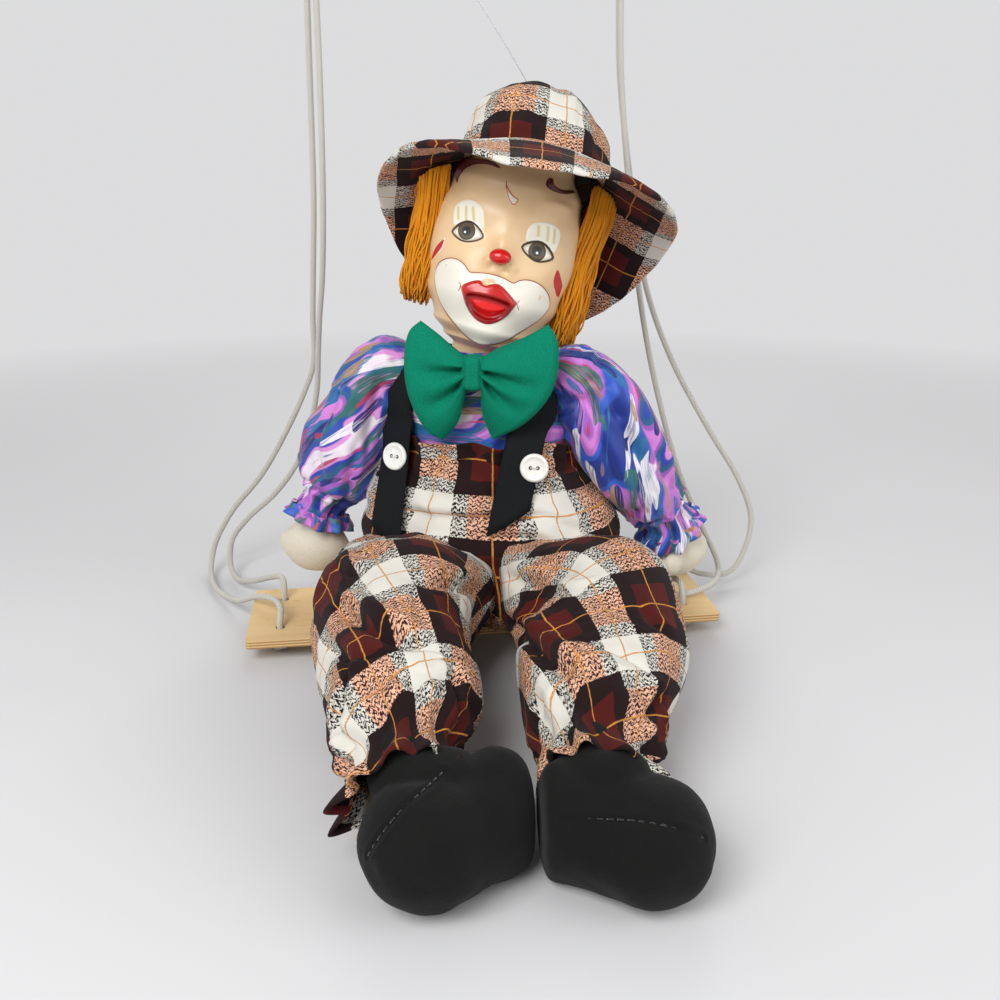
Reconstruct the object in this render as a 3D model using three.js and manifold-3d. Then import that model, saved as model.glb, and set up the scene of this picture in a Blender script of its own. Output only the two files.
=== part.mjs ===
// Porcelain clown doll seated on a little plank swing, legs stretched out in front.
// Millimetres, +Z up. The plank runs along X, the legs point toward -Y, the floor is z = 0.
// "Right" and "left" are the doll's own sides: its right side is toward -X.
import * as THREE from 'three';
import { mergeVertices } from 'three/addons/utils/BufferGeometryUtils.js';
import Module from 'manifold-3d';

const wasm = await Module();
wasm.setup();

// Driving sizes: clearances
const gap = 0.35;             // between soft pieces that touch
const jointGap = 0.45;        // round every ball in its socket

// Driving sizes: swing
const plankLength = 226;
const plankDepth = 60;
const plankThickness = 4;
const plankUnderside = 7;     // height above the floor, on the stopper knots
const plankCorner = 2;
const holeInset = 15;         // hole centre to the plank's end
const holeSpacing = 33;       // between the front and rear holes
const holeDiameter = 4.4;
const cordDiameter = 3;
const knotRadius = 4.7;
const hangKnotHeight = 304;   // middle of the knots that tie each side's two cords
const hangKnotRadius = 5.4;
const hangLoopRadius = 8;     // of the loop's centre line

// Driving sizes: body
const facing = 25;            // degrees the chest turns toward -X
const waistHeight = 98;       // upper edge of the trousers
const waistHalfWidth = 46;
const waistHalfDepth = 32;
const seatHalfWidth = 58;
const seatHalfDepth = 38;
const chestHalfWidth = 43;
const chestHalfDepth = 28;
const shoulderHeight = 136;
const stuffingBottom = 66;
const bodyWall = 4;           // shirt cloth and folds round the stuffed body
const strapWidth = 15;
const strapThickness = 1.2;
const strapSpread = 29;       // strap centre to the chest's middle, at the front
const strapEndHeight = 66;
const buttonDiameter = 12.7;
const buttonThickness = 2.4;
const buttonHeight = 91;
const buttonHoleSpacing = 3.2;

// Driving sizes: head, in its own frame with the neck pivot at the origin
const headTilt = 13.9;        // degrees toward +X
const headBack = 5;
const headTurn = 8;           // degrees, toward -X
const neckBase = new THREE.Vector3(-3, 0, shoulderHeight - 7);
const neckRadius = 12.5;
const porcelainWall = 3;
const neckBallRadius = 10;
const neckBallDrop = 9;       // ball centre below the head's origin
const headHalfWidth = 33.5;
const faceDepth = 30;         // from the head's axis to the face
const napeDepth = 31;
const chinHeight = 12.5;
const skullTop = 103;
const noseRadius = 4.4;
const noseHeight = 50;
const hatPlace = new THREE.Vector3(6.5, 3, 75);
const hatTilt = 31;           // degrees the hat leans back on the head
const hatRoll = -3;
const crownRadius = 33.5;
const crownHeight = 47;
const hatCloth = 2.4;
const brimRadius = 67.5;
const brimDrop = 17;          // from the crown's foot to the brim's edge
const brimCurl = 11;          // how far the brim's sides rise and its front and back fall
const brimThickness = 3;
const lineDiameter = 0.55;
const lineLoopRadius = 3;
const lineTopHeight = 159;     // above the neck's base

// Driving sizes: limbs
const legHeading = 2.7;       // degrees the legs' planes turn toward -X
const legDivide = 3.2;        // where the plane between the legs stands, along the hinge axis
const hipRollRadius = 26;     // rounded ends that roll in the piece above
const kneeRollRadius = 27;
const ankleBallRadius = 9;
const ankleMouth = 13;        // opening of the cuff round the ankle
const wristMouth = 11;
const hipLift = 20;
const kneeBend = 70;
const armholeOffset = 36;     // from the trunk's axis to the flat inner face of a sleeve
const wristBallRadius = 7;

const degree = Math.PI / 180;
const V = (x, y, z) => new THREE.Vector3(x, y, z);
const up = V(0, 0, 1);

// Materials
const paint = (color, roughness) => new THREE.MeshStandardMaterial({ color, roughness, metalness: 0 });
const porcelain = paint(0xe0be91, 0.18);
const orangeYarn = paint(0xd8862a, 0.9);
const plaid = paint(0x8a5a50, 0.85);
const print = paint(0x4a58a8, 0.5);
const ribbon = paint(0x0a8769, 0.6);
const blackCloth = paint(0x1d1d1c, 0.8);
const strapCloth = paint(0x16181a, 0.7);
const mittCloth = paint(0xe1dac8, 0.9);
const bodyCloth = paint(0xd9cfb8, 0.9);
const buttonPlastic = paint(0xebebe4, 0.3);
const plywood = paint(0xe1c38c, 0.6);
const whiteCord = paint(0xd7d4c8, 0.85);
const nylon = paint(0xd0d4d8, 0.2);

// Closed surface through rings of equal count, each end closed on its own tip point.
function ringSolid(rings, firstTip, lastTip) {
  const count = rings[0].length;
  const points = [firstTip, ...rings.flat(), lastTip];
  const last = points.length - 1;
  const faces = [];
  for (let k = 0; k < count; k++) {
    const next = (k + 1) % count;
    faces.push(0, 1 + next, 1 + k);
    for (let ring = 0; ring < rings.length - 1; ring++) {
      const a = 1 + ring * count;
      const b = a + count;
      faces.push(a + k, a + next, b + next, a + k, b + next, b + k);
    }
    faces.push(last, last - count + k, last - count + next);
  }
  return indexed(points, faces);
}

// Closed surface through a chain of rings whose last ring joins the first.
function ringLoop(rings) {
  const count = rings[0].length;
  const faces = [];
  for (let ring = 0; ring < rings.length; ring++) {
    const a = ring * count;
    const b = ((ring + 1) % rings.length) * count;
    for (let k = 0; k < count; k++) {
      const next = (k + 1) % count;
      faces.push(a + k, a + next, b + next, a + k, b + next, b + k);
    }
  }
  return indexed(rings.flat(), faces);
}

function indexed(points, faces) {
  const geometry = new THREE.BufferGeometry();
  const numbers = points.flatMap((p) => [p.x, p.y, p.z]);
  geometry.setAttribute('position', new THREE.Float32BufferAttribute(numbers, 3));
  geometry.setIndex(faces);
  return facingOut(geometry);
}

// Turns a closed surface's faces outward by the sign of its volume.
function facingOut(geometry) {
  const at = geometry.getAttribute('position');
  const index = geometry.getIndex().array;
  const corner = (k) => V(at.getX(index[k]), at.getY(index[k]), at.getZ(index[k]));
  let volume = 0;
  for (let k = 0; k < index.length; k += 3) {
    volume += corner(k).dot(corner(k + 1).cross(corner(k + 2)));
  }
  if (volume < 0) {
    for (let k = 0; k < index.length; k += 3) {
      const first = index[k];
      index[k] = index[k + 1];
      index[k + 1] = first;
    }
  }
  return geometry;
}

function welded(source) {
  const geometry = source.clone();
  geometry.deleteAttribute('normal');
  geometry.deleteAttribute('uv');
  return mergeVertices(geometry, 1e-4);
}

function solid(source) {
  const geometry = welded(source);
  return new wasm.Manifold(new wasm.Mesh({
    numProp: 3,
    vertProperties: new Float32Array(geometry.getAttribute('position').array),
    triVerts: new Uint32Array(geometry.getIndex().array),
  }));
}

function surface(manifold) {
  const mesh = manifold.getMesh();
  const geometry = new THREE.BufferGeometry();
  geometry.setAttribute('position', new THREE.BufferAttribute(new Float32Array(mesh.vertProperties), 3));
  geometry.setIndex([...mesh.triVerts]);
  return geometry;
}

// The same surface moved outward along its own normals.
function grown(source, amount) {
  const geometry = welded(source);
  geometry.computeVertexNormals();
  const at = geometry.getAttribute('position');
  const normal = geometry.getAttribute('normal');
  for (let k = 0; k < at.count; k++) {
    at.setXYZ(
      k,
      at.getX(k) + amount * normal.getX(k),
      at.getY(k) + amount * normal.getY(k),
      at.getZ(k) + amount * normal.getZ(k),
    );
  }
  return geometry;
}

const around = (source, amount = gap) => solid(grown(source, amount));
const joined = (...parts) => parts.reduce((whole, part) => whole.add(part));
const cut = (body, ...tools) => tools.reduce((rest, tool) => rest.subtract(tool), body);

// The largest piece of a cut body, so that slivers shaved off at a fold's edge drop away.
function largest(manifold) {
  const pieces = manifold.decompose();
  return pieces.reduce((best, piece) => (piece.volume() > best.volume() ? piece : best));
}

function ball(centre, radius, segments = 20) {
  const geometry = new THREE.SphereGeometry(radius, segments, Math.round(segments / 2));
  return solid(geometry.translate(centre.x, centre.y, centre.z));
}

function egg(centre, radii, segments = 16) {
  const geometry = new THREE.SphereGeometry(1, segments, Math.round(segments * 0.6));
  return geometry.scale(...radii).translate(centre.x, centre.y, centre.z);
}

// Everything on the far side of a plane through a point.
function beyond(point, direction) {
  const size = 700;
  const geometry = new THREE.BoxGeometry(size, size, size).translate(0, 0, size / 2);
  geometry.applyQuaternion(new THREE.Quaternion().setFromUnitVectors(up, direction.clone().normalize()));
  return solid(geometry.translate(point.x, point.y, point.z));
}

function keyed(keys) {
  return (t) => {
    let k = 0;
    while (k < keys.length - 2 && t > keys[k + 1][0]) {
      k++;
    }
    const [start, ...from] = keys[k];
    const [end, ...to] = keys[k + 1];
    const share = THREE.MathUtils.smoothstep(t, start, end);
    return from.map((value, i) => THREE.MathUtils.lerp(value, to[i], share));
  };
}

// A swelling, tapering soft body along a path. radii(t) gives half width and half height,
// fold(t, angle) the share by which the cloth stands out, roundness the share of each domed end.
function softBody({ path, radii, across, sides = 20, steps = 12, roundness = 0.16, fold = () => 0 }) {
  const curve = new THREE.CatmullRomCurve3(path, false, 'centripetal');
  const rings = [];
  for (let i = 1; i < steps; i++) {
    const t = (1 - Math.cos((Math.PI * i) / steps)) / 2;
    const centre = curve.getPointAt(t);
    const along = curve.getTangentAt(t);
    const side = across.clone().addScaledVector(along, -across.dot(along)).normalize();
    const rise = V(0, 0, 0).crossVectors(along, side);
    const edge = Math.min(t, 1 - t, roundness) / roundness;
    const dome = Math.sqrt(1 - (1 - edge) ** 2);
    const [wide, tall] = radii(t);
    const ring = [];
    for (let k = 0; k < sides; k++) {
      const angle = (2 * Math.PI * k) / sides;
      const reach = dome * (1 + fold(t, angle) * edge);
      ring.push(centre.clone()
        .addScaledVector(side, wide * reach * Math.cos(angle))
        .addScaledVector(rise, tall * reach * Math.sin(angle)));
    }
    rings.push(ring);
  }
  return ringSolid(rings, curve.getPointAt(0), curve.getPointAt(1));
}

// A cord: an eight-sided section along a smooth path.
function cordTube(points, diameter, stepLength = 3) {
  const curve = new THREE.CatmullRomCurve3(points, false, 'centripetal');
  curve.arcLengthDivisions = 600;
  const section = new THREE.Shape();
  for (let k = 0; k < 8; k++) {
    const angle = (2 * Math.PI * (k + 0.5)) / 8;
    section[k === 0 ? 'moveTo' : 'lineTo'](
      (diameter / 2) * Math.cos(angle),
      (diameter / 2) * Math.sin(angle),
    );
  }
  section.closePath();
  const steps = Math.min(80, Math.ceil(curve.getLength() / (stepLength * diameter)));
  return new THREE.ExtrudeGeometry(section, { steps, extrudePath: curve, bevelEnabled: false });
}

// The doll's groups, one for each body that moves
const doll = new THREE.Group();

function jointGroup(parent, pivot, name) {
  const group = new THREE.Group();
  group.name = name;
  group.position.copy(parent.worldToLocal(pivot.clone()));
  parent.add(group);
  doll.updateMatrixWorld(true);
  return group;
}

// Hangs a solid that is modelled in the doll's frame on one of its groups.
function hang(group, name, shape, material) {
  const geometry = (shape instanceof wasm.Manifold ? surface(shape) : welded(shape));
  const mesh = new THREE.Mesh(geometry, material);
  mesh.name = name;
  geometry.applyMatrix4(group.matrixWorld.clone().invert());
  group.add(mesh);
  return mesh;
}

// Swing: plank, stopper knots, four cords and two hanging loops
const holeX = plankLength / 2 - holeInset;
const holeY = holeSpacing / 2;
const plankTop = plankUnderside + plankThickness;

function plankShape() {
  const x = plankLength / 2;
  const y = plankDepth / 2;
  const c = plankCorner;
  const outline = new THREE.Shape();
  outline.moveTo(-x + c, -y);
  outline.lineTo(x - c, -y);
  outline.absarc(x - c, -y + c, c, -Math.PI / 2, 0);
  outline.lineTo(x, y - c);
  outline.absarc(x - c, y - c, c, 0, Math.PI / 2);
  outline.lineTo(-x + c, y);
  outline.absarc(-x + c, y - c, c, Math.PI / 2, Math.PI);
  outline.lineTo(-x, -y + c);
  outline.absarc(-x + c, -y + c, c, Math.PI, 1.5 * Math.PI);
  for (const sideX of [-holeX, holeX]) {
    for (const sideY of [-holeY, holeY]) {
      const hole = new THREE.Path();
      hole.absarc(sideX, sideY, holeDiameter / 2, 0, 2 * Math.PI, true);
      outline.holes.push(hole);
    }
  }
  const options = { depth: plankThickness, bevelEnabled: false, curveSegments: 6 };
  return new THREE.ExtrudeGeometry(outline, options).translate(0, 0, plankUnderside);
}

hang(doll, 'swing_plank', plankShape(), plywood);

// An overhand knot's lump: three soft lobes that wind round it.
function knotLump(centre, radius, height) {
  const geometry = new THREE.SphereGeometry(1, 8, 5);
  const at = geometry.getAttribute('position');
  for (let k = 0; k < at.count; k++) {
    const p = V(at.getX(k), at.getY(k), at.getZ(k));
    const turn = Math.atan2(p.y, p.x);
    const level = Math.hypot(p.x, p.y);
    const reach = 1 + 0.12 * level * Math.sin(3 * turn + 2.2 * p.z);
    at.setXYZ(k, p.x * radius * reach, p.y * radius * reach, p.z * height);
  }
  return welded(geometry.translate(centre.x, centre.y, centre.z));
}

const knotTop = plankUnderside - 0.3;
for (const [sideName, sideX] of [['right', -holeX], ['left', holeX]]) {
  for (const [endName, endY] of [['front', -holeY], ['rear', holeY]]) {
    const lump = solid(knotLump(V(sideX, endY, knotTop / 2), knotRadius, knotTop / 2 + 0.8));
    const flat = cut(lump, beyond(V(0, 0, knotTop), up), beyond(V(0, 0, 0), V(0, 0, -1)));
    hang(doll, `stopper_knot_${sideName}_${endName}`, flat, whiteCord);
  }
}

const hangKnots = { right: V(-71, 86, hangKnotHeight), left: V(77, 74.5, hangKnotHeight) };
const hangKnotFoot = hangKnotHeight - hangKnotRadius;
const cordEndHeight = hangKnotFoot - 0.3;
const cordFoot = plankUnderside + 0.3;

// Routes from the hanging knot down to the plank's holes, chosen by hand along the photographed run.
const routes = {
  cord_right_front: [
    V(-73.2, 88, cordEndHeight), V(-74, 89, 260), V(-75.5, 90, 201), V(-78, 92, 163), V(-79.5, 94, 140),
    V(-80.5, 95, 116), V(-86, 96, 101), V(-97, 97, 79), V(-113, 98, 53), V(-131, 98, 32), V(-141, 95, 15),
    V(-143, 84, 4.5), V(-138, 59, 2.6), V(-129, 40, 3.8), V(-121, 23, 9), V(-110, 9, 16.5),
    V(-101, -3, 19.5), V(-97.6, -12, 18.5), V(-98, -16.5, 13), V(-98, -16.5, cordFoot),
  ],
  cord_right_rear: [
    V(-68.8, 84, cordEndHeight), V(-69, 83, 260), V(-70.5, 82, 201), V(-73, 83, 163), V(-75.5, 85, 143),
    V(-77.5, 86, 122), V(-79, 87, 104), V(-83, 89, 86), V(-92, 91, 62), V(-106, 93, 43),
    V(-122, 93, 29), V(-131, 90, 18), V(-132, 82, 7), V(-127, 66, 3.6), V(-117, 52, 7.5), V(-106, 40, 14),
    V(-100, 28, 18.5), V(-98, 19.5, 18), V(-98, 16.5, 12.5), V(-98, 16.5, cordFoot),
  ],
  cord_left_front: [
    V(78.6, 72.4, cordEndHeight), V(80, 71, 260), V(86, 69, 205), V(93.5, 67, 151), V(101.5, 61, 109),
    V(113, 49, 63), V(121, 30, 37), V(128.5, 20, 18), V(122, 3, 14.4), V(107, -9.5, 14.2),
    V(94, -12, 14.2), V(88.5, -6, 14), V(88.6, 2.5, 14), V(93, 5.5, 15), V(97.4, 0, 18),
    V(98.6, -10, 19.5), V(98, -16.5, 14), V(98, -16.5, cordFoot),
  ],
  cord_left_rear: [
    V(79, 77.4, cordEndHeight), V(81, 77, 260), V(89, 75.5, 205), V(98, 73, 157), V(113, 69, 118),
    V(134, 62, 80), V(151, 55, 52), V(157, 48, 33), V(151, 37, 19), V(139, 28, 8), V(122, 25, 9),
    V(108, 24, 16), V(100.5, 20.5, 17.6), V(98, 16.5, 13), V(98, 16.5, cordFoot),
  ],
};
for (const [name, route] of Object.entries(routes)) {
  hang(doll, name, cordTube(route, cordDiameter), whiteCord);
}

function hangingLoop(centre) {
  const knot = cut(
    solid(knotLump(centre, hangKnotRadius, hangKnotRadius + 2)),
    beyond(V(0, 0, hangKnotFoot), V(0, 0, -1)),
  );
  const ring = new THREE.TorusGeometry(hangLoopRadius, cordDiameter / 2, 6, 12);
  ring.rotateX(Math.PI / 2).translate(centre.x, centre.y, centre.z + hangKnotRadius + hangLoopRadius - 1);
  return joined(knot, solid(ring));
}
for (const [sideName, centre] of Object.entries(hangKnots)) {
  hang(doll, `hanging_loop_${sideName}`, hangingLoop(centre), whiteCord);
}

// Leg planes: both legs swing in parallel planes, one on each side of the dividing plane
const legAxis = V(Math.cos(legHeading * degree), -Math.sin(legHeading * degree), 0);
const legAhead = V(-Math.sin(legHeading * degree), -Math.cos(legHeading * degree), 0);
const legSides = {
  right: {
    hip: V(-28, -11, 37.6), knee: V(-46, -86, 40), ankle: V(-45, -164, 31), outward: -1,
    thighHalfWidth: 36, thighHalfHeight: 33, kneeHalfWidth: 34, shinHalfWidth: 29, cuffHalfWidth: 15,
    heel: V(-17, -184, 18.2), toe: V(-48, -202, 20.7),
  },
  left: {
    hip: V(30, -13.74, 37.6), knee: V(36, -96, 38), ankle: V(14, -168, 30), outward: 1,
    thighHalfWidth: 36, thighHalfHeight: 33, kneeHalfWidth: 37, shinHalfWidth: 31, cuffHalfWidth: 16,
    heel: V(4, -190, 18.2), toe: V(36, -212, 20.5),
  },
};

function ownSide(leg) {
  const face = legAxis.clone().multiplyScalar(leg.outward);
  return beyond(legAxis.clone().multiplyScalar(legDivide + leg.outward * gap), face);
}

const turned = (direction, axis, angle) => direction.clone().applyAxisAngle(axis, angle * degree);

// The part of a child piece that stays clear of its parent's flat end over the joint's whole range.
function clearOfParent(body, pivot, ahead, axis, low, high) {
  const start = (angle) => {
    const face = turned(ahead, axis, -angle);
    return beyond(pivot.clone().addScaledVector(face, jointGap), face);
  };
  return body.intersect(start(low)).intersect(start(high));
}

// A round bar along a hinge's axis, long enough to cross a whole limb.
function roll(pivot, axis, radius, segments = 28) {
  const geometry = new THREE.CylinderGeometry(radius, radius, 160, segments);
  geometry.applyQuaternion(new THREE.Quaternion().setFromUnitVectors(V(0, 1, 0), axis));
  return solid(geometry.translate(pivot.x, pivot.y, pivot.z));
}

// The hollow for a ball joint's ball, opening into a cone toward the piece that it carries.
function socket(pivot, direction, ballRadius, mouthRadius, length) {
  const r = ballRadius + jointGap;
  const profile = [];
  for (let k = 0; k <= 4; k++) {
    const angle = (k * Math.PI) / 8;
    profile.push(new THREE.Vector2(r * Math.sin(angle), -r * Math.cos(angle)));
  }
  profile.push(new THREE.Vector2(mouthRadius, length), new THREE.Vector2(0, length));
  const geometry = new THREE.LatheGeometry(profile, 14);
  geometry.applyQuaternion(new THREE.Quaternion().setFromUnitVectors(V(0, 1, 0), direction));
  return solid(geometry.translate(pivot.x, pivot.y, pivot.z));
}

// Trouser legs: puffed cloth with slanting folds, gathered at the ankle
function thighBody(leg) {
  const start = leg.hip.clone().addScaledVector(legAhead, -24);
  const slope = leg.knee.clone().sub(leg.hip).normalize();
  const end = leg.knee.clone().addScaledVector(slope, 26);
  return softBody({
    path: [start, leg.hip, leg.hip.clone().lerp(leg.knee, 0.5), leg.knee, end],
    radii: keyed([
      [0, 26, 26], [0.25, leg.thighHalfWidth, leg.thighHalfHeight],
      [0.75, leg.kneeHalfWidth, leg.thighHalfHeight], [1, leg.kneeHalfWidth, 30],
    ]),
    across: legAxis, sides: 17, steps: 10, roundness: 0.2,
    fold: (t, angle) => 0.042 * Math.sin(3 * angle + 14 * t) + 0.032 * Math.sin(22 * t + 2 * angle),
  });
}

function shinBody(leg) {
  const slope = leg.ankle.clone().sub(leg.knee).normalize();
  const start = leg.knee.clone().addScaledVector(slope, -24);
  const end = leg.ankle.clone().addScaledVector(slope, 5);
  return softBody({
    path: [start, leg.knee, leg.knee.clone().lerp(leg.ankle, 0.5), leg.ankle, end],
    radii: keyed([
      [0, leg.kneeHalfWidth - 1, 31], [0.25, leg.kneeHalfWidth, 32], [0.55, leg.shinHalfWidth + 2, 29],
      [0.8, leg.cuffHalfWidth + 11, 24], [0.93, leg.cuffHalfWidth + 1, 16], [1, leg.cuffHalfWidth, 14],
    ]),
    across: legAxis, sides: 20, steps: 11, roundness: 0.07,
    fold: (t, angle) => 0.045 * Math.sin(20 * t + 2 * angle)
      + 0.07 * THREE.MathUtils.smoothstep(t, 0.5, 0.95) * Math.sin(8 * angle),
  });
}

// A gathered ruffle: a thin fluted skirt round an opening, flaring along its direction.
function ruffle(centre, direction, across, inner, outer, length, flutes, wall) {
  const side = across.clone().addScaledVector(direction, -across.dot(direction)).normalize();
  const rise = V(0, 0, 0).crossVectors(direction, side);
  const sides = flutes * 3;
  const ringAt = (along, radius, wave) => {
    const ring = [];
    for (let k = 0; k < sides; k++) {
      const angle = (2 * Math.PI * k) / sides;
      const reach = radius + wave * Math.sin(flutes * angle);
      ring.push(centre.clone().addScaledVector(direction, along)
        .addScaledVector(side, reach * Math.cos(angle))
        .addScaledVector(rise, reach * Math.sin(angle)));
    }
    return ring;
  };
  const wave = (outer - inner) * 0.28;
  return ringLoop([
    ringAt(0, inner, 0), ringAt(length, outer - wall, wave),
    ringAt(length, outer, wave), ringAt(0, inner + wall, 0),
  ]);
}

// Stuffed shoes, turned out, with a flat sole on the floor
function shoeBody(leg) {
  const middle = leg.heel.clone().lerp(leg.toe, 0.5).setZ(18);
  const reach = leg.toe.clone().sub(leg.heel).setZ(0).normalize();
  const start = leg.heel.clone().addScaledVector(reach, -18);
  const end = leg.toe.clone().addScaledVector(reach, 22);
  return softBody({
    path: [start, leg.heel, middle, leg.toe, end],
    radii: keyed([[0, 17, 17], [0.25, 18.5, 19], [0.48, 17.5, 18.2], [0.72, 21.5, 22], [1, 20, 19]]),
    across: V(0, 0, 0).crossVectors(up, reach), sides: 16, steps: 11, roundness: 0.26,
    fold: (t, angle) => -0.05 * Math.max(0, Math.sin(angle)) ** 6 * Math.sin(60 * t) ** 2,
  });
}

for (const leg of Object.values(legSides)) {
  const mine = ownSide(leg);
  const kneeSlope = leg.knee.clone().sub(leg.hip).setZ(0).normalize();
  const shinSlope = leg.ankle.clone().sub(leg.knee).normalize();
  leg.kneeAhead = kneeSlope.addScaledVector(legAxis, -kneeSlope.dot(legAxis)).normalize();
  leg.ankleAhead = shinSlope.addScaledVector(legAxis, -shinSlope.dot(legAxis)).normalize();

  const pastKnee = beyond(leg.knee, leg.kneeAhead);
  const thighEnds = joined(
    beyond(leg.hip, legAhead).subtract(pastKnee),
    roll(leg.hip, legAxis, hipRollRadius), roll(leg.knee, legAxis, kneeRollRadius),
  );
  const seatBoard = solid(new THREE.BoxGeometry(300, plankDepth + 2 * gap, 40)
    .translate(0, 0, plankTop + gap - 20));
  leg.thigh = solid(thighBody(leg)).intersect(thighEnds).intersect(mine).subtract(seatBoard);

  const ankleSocket = socket(leg.ankle, leg.ankleAhead, ankleBallRadius, ankleMouth, 30);
  const shinHollow = solid(shinBody(leg)).intersect(mine)
    .subtract(roll(leg.knee, legAxis, kneeRollRadius + jointGap));
  const shinTop = clearOfParent(shinHollow, leg.knee, leg.kneeAhead, legAxis, 0, kneeBend);
  const cuffStart = leg.ankle.clone().addScaledVector(leg.ankleAhead, 1);
  leg.shin = cut(shinTop, ankleSocket, beyond(cuffStart, leg.ankleAhead));
  leg.cuff = solid(ruffle(
    cuffStart.clone().addScaledVector(leg.ankleAhead, gap), leg.ankleAhead, legAxis,
    ankleBallRadius + 1.6, leg.cuffHalfWidth + 2.5, 7, 8, 1.6,
  )).intersect(mine).subtract(ankleSocket);

  const instep = leg.heel.clone().lerp(leg.toe, 0.45);
  const stub = softBody({
    path: [leg.ankle, leg.ankle.clone().addScaledVector(leg.ankleAhead, 10), instep],
    radii: keyed([[0, 7, 7], [0.38, 7.5, 7.5], [1, 15, 13]]),
    across: legAxis, sides: 10, steps: 7,
  });
  const cuffRadius = leg.cuffHalfWidth + 5;
  const cuffSweep = new THREE.CylinderGeometry(cuffRadius, cuffRadius + 6, 30, 16).translate(0, -1, 0);
  cuffSweep.applyQuaternion(new THREE.Quaternion().setFromUnitVectors(V(0, 1, 0), leg.ankleAhead));
  const cuffRoom = solid(cuffSweep.translate(leg.ankle.x, leg.ankle.y, leg.ankle.z));
  const foot = solid(shoeBody(leg)).subtract(cuffRoom);
  leg.shoe = joined(foot, ball(leg.ankle, ankleBallRadius, 12), solid(stub))
    .intersect(mine).subtract(beyond(V(0, 0, 0), V(0, 0, -1)));
}

for (const [name, leg] of Object.entries(legSides)) {
  const hipGroup = jointGroup(doll, leg.hip, `hip_${name}`);
  const kneeGroup = jointGroup(hipGroup, leg.knee, `knee_${name}`);
  const ankleGroup = jointGroup(kneeGroup, leg.ankle, `ankle_${name}`);
  hang(hipGroup, `trouser_thigh_${name}`, largest(leg.thigh), plaid);
  hang(kneeGroup, `trouser_shin_${name}`, largest(leg.shin), plaid);
  hang(kneeGroup, `trouser_cuff_${name}`, largest(leg.cuff), plaid);
  hang(ankleGroup, `shoe_${name}`, largest(leg.shoe), blackCloth);
}

// Trunk: stuffed body, shirt, trouser seat, straps and buttons
const chestAhead = V(-Math.sin(facing * degree), -Math.cos(facing * degree), 0);
const chestSide = V(Math.cos(facing * degree), -Math.sin(facing * degree), 0);

function trunkBody(bottom, top, keys, fold, steps, roundness, sides = 20) {
  return softBody({
    path: [V(0, 2, bottom), V(0, 1, (bottom + top) / 2), V(-1, 0, top)],
    radii: keyed(keys), across: chestSide, sides, steps, roundness, fold,
  });
}

const stuffedBody = trunkBody(stuffingBottom, shoulderHeight - bodyWall, [
  [0, 32, 22], [0.3, waistHalfWidth - bodyWall * 2, waistHalfDepth - bodyWall * 2],
  [0.75, chestHalfWidth - bodyWall, chestHalfDepth - bodyWall],
  [1, chestHalfWidth - bodyWall - 4, chestHalfDepth - bodyWall - 4],
], () => 0, 6, 0.2, 14);
const shirtBody = trunkBody(58, shoulderHeight, [
  [0, waistHalfWidth - bodyWall, waistHalfDepth - bodyWall],
  [0.45, waistHalfWidth - bodyWall * 0.5, waistHalfDepth - bodyWall * 0.5],
  [0.8, chestHalfWidth, chestHalfDepth], [1, chestHalfWidth - 3, chestHalfDepth - 3],
], (t, angle) => 0.02 * Math.sin(5 * angle + 9 * t), 8, 0.16, 18);
const seatBody = trunkBody(plankTop - 6, waistHeight, [
  [0, seatHalfWidth, seatHalfDepth], [0.35, seatHalfWidth, seatHalfDepth],
  [0.7, waistHalfWidth, waistHalfDepth + 2], [1, waistHalfWidth, waistHalfDepth],
], (t, angle) => 0.03 * Math.sin(7 * angle + 8 * t), 10, 0.1);

const neckBall = neckBase.clone();
const headGroup = new THREE.Group();
const neckGroup = new THREE.Group();
headGroup.name = 'head_turn';
neckGroup.name = 'neck_nod';
const headTurnOrder = new THREE.Euler(-headBack * degree, headTilt * degree, -headTurn * degree, 'ZYX');
neckGroup.quaternion.setFromEuler(headTurnOrder);
neckGroup.position.copy(neckBase).add(V(0, 0, -neckBallDrop).applyQuaternion(neckGroup.quaternion));
neckBall.copy(neckGroup.position);
headGroup.position.set(0, 0, neckBallDrop);
neckGroup.add(headGroup);
doll.add(neckGroup);
doll.updateMatrixWorld(true);

const collarRoom = solid(new THREE.CylinderGeometry(neckRadius + 2.5, neckRadius + 5, 36, 18)
  .rotateX(-Math.PI / 2).translate(0, 0, 21).applyQuaternion(neckGroup.quaternion)
  .translate(neckBall.x, neckBall.y, neckBall.z));
const neckSocket = ball(neckBall, neckBallRadius + jointGap, 14);

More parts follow.
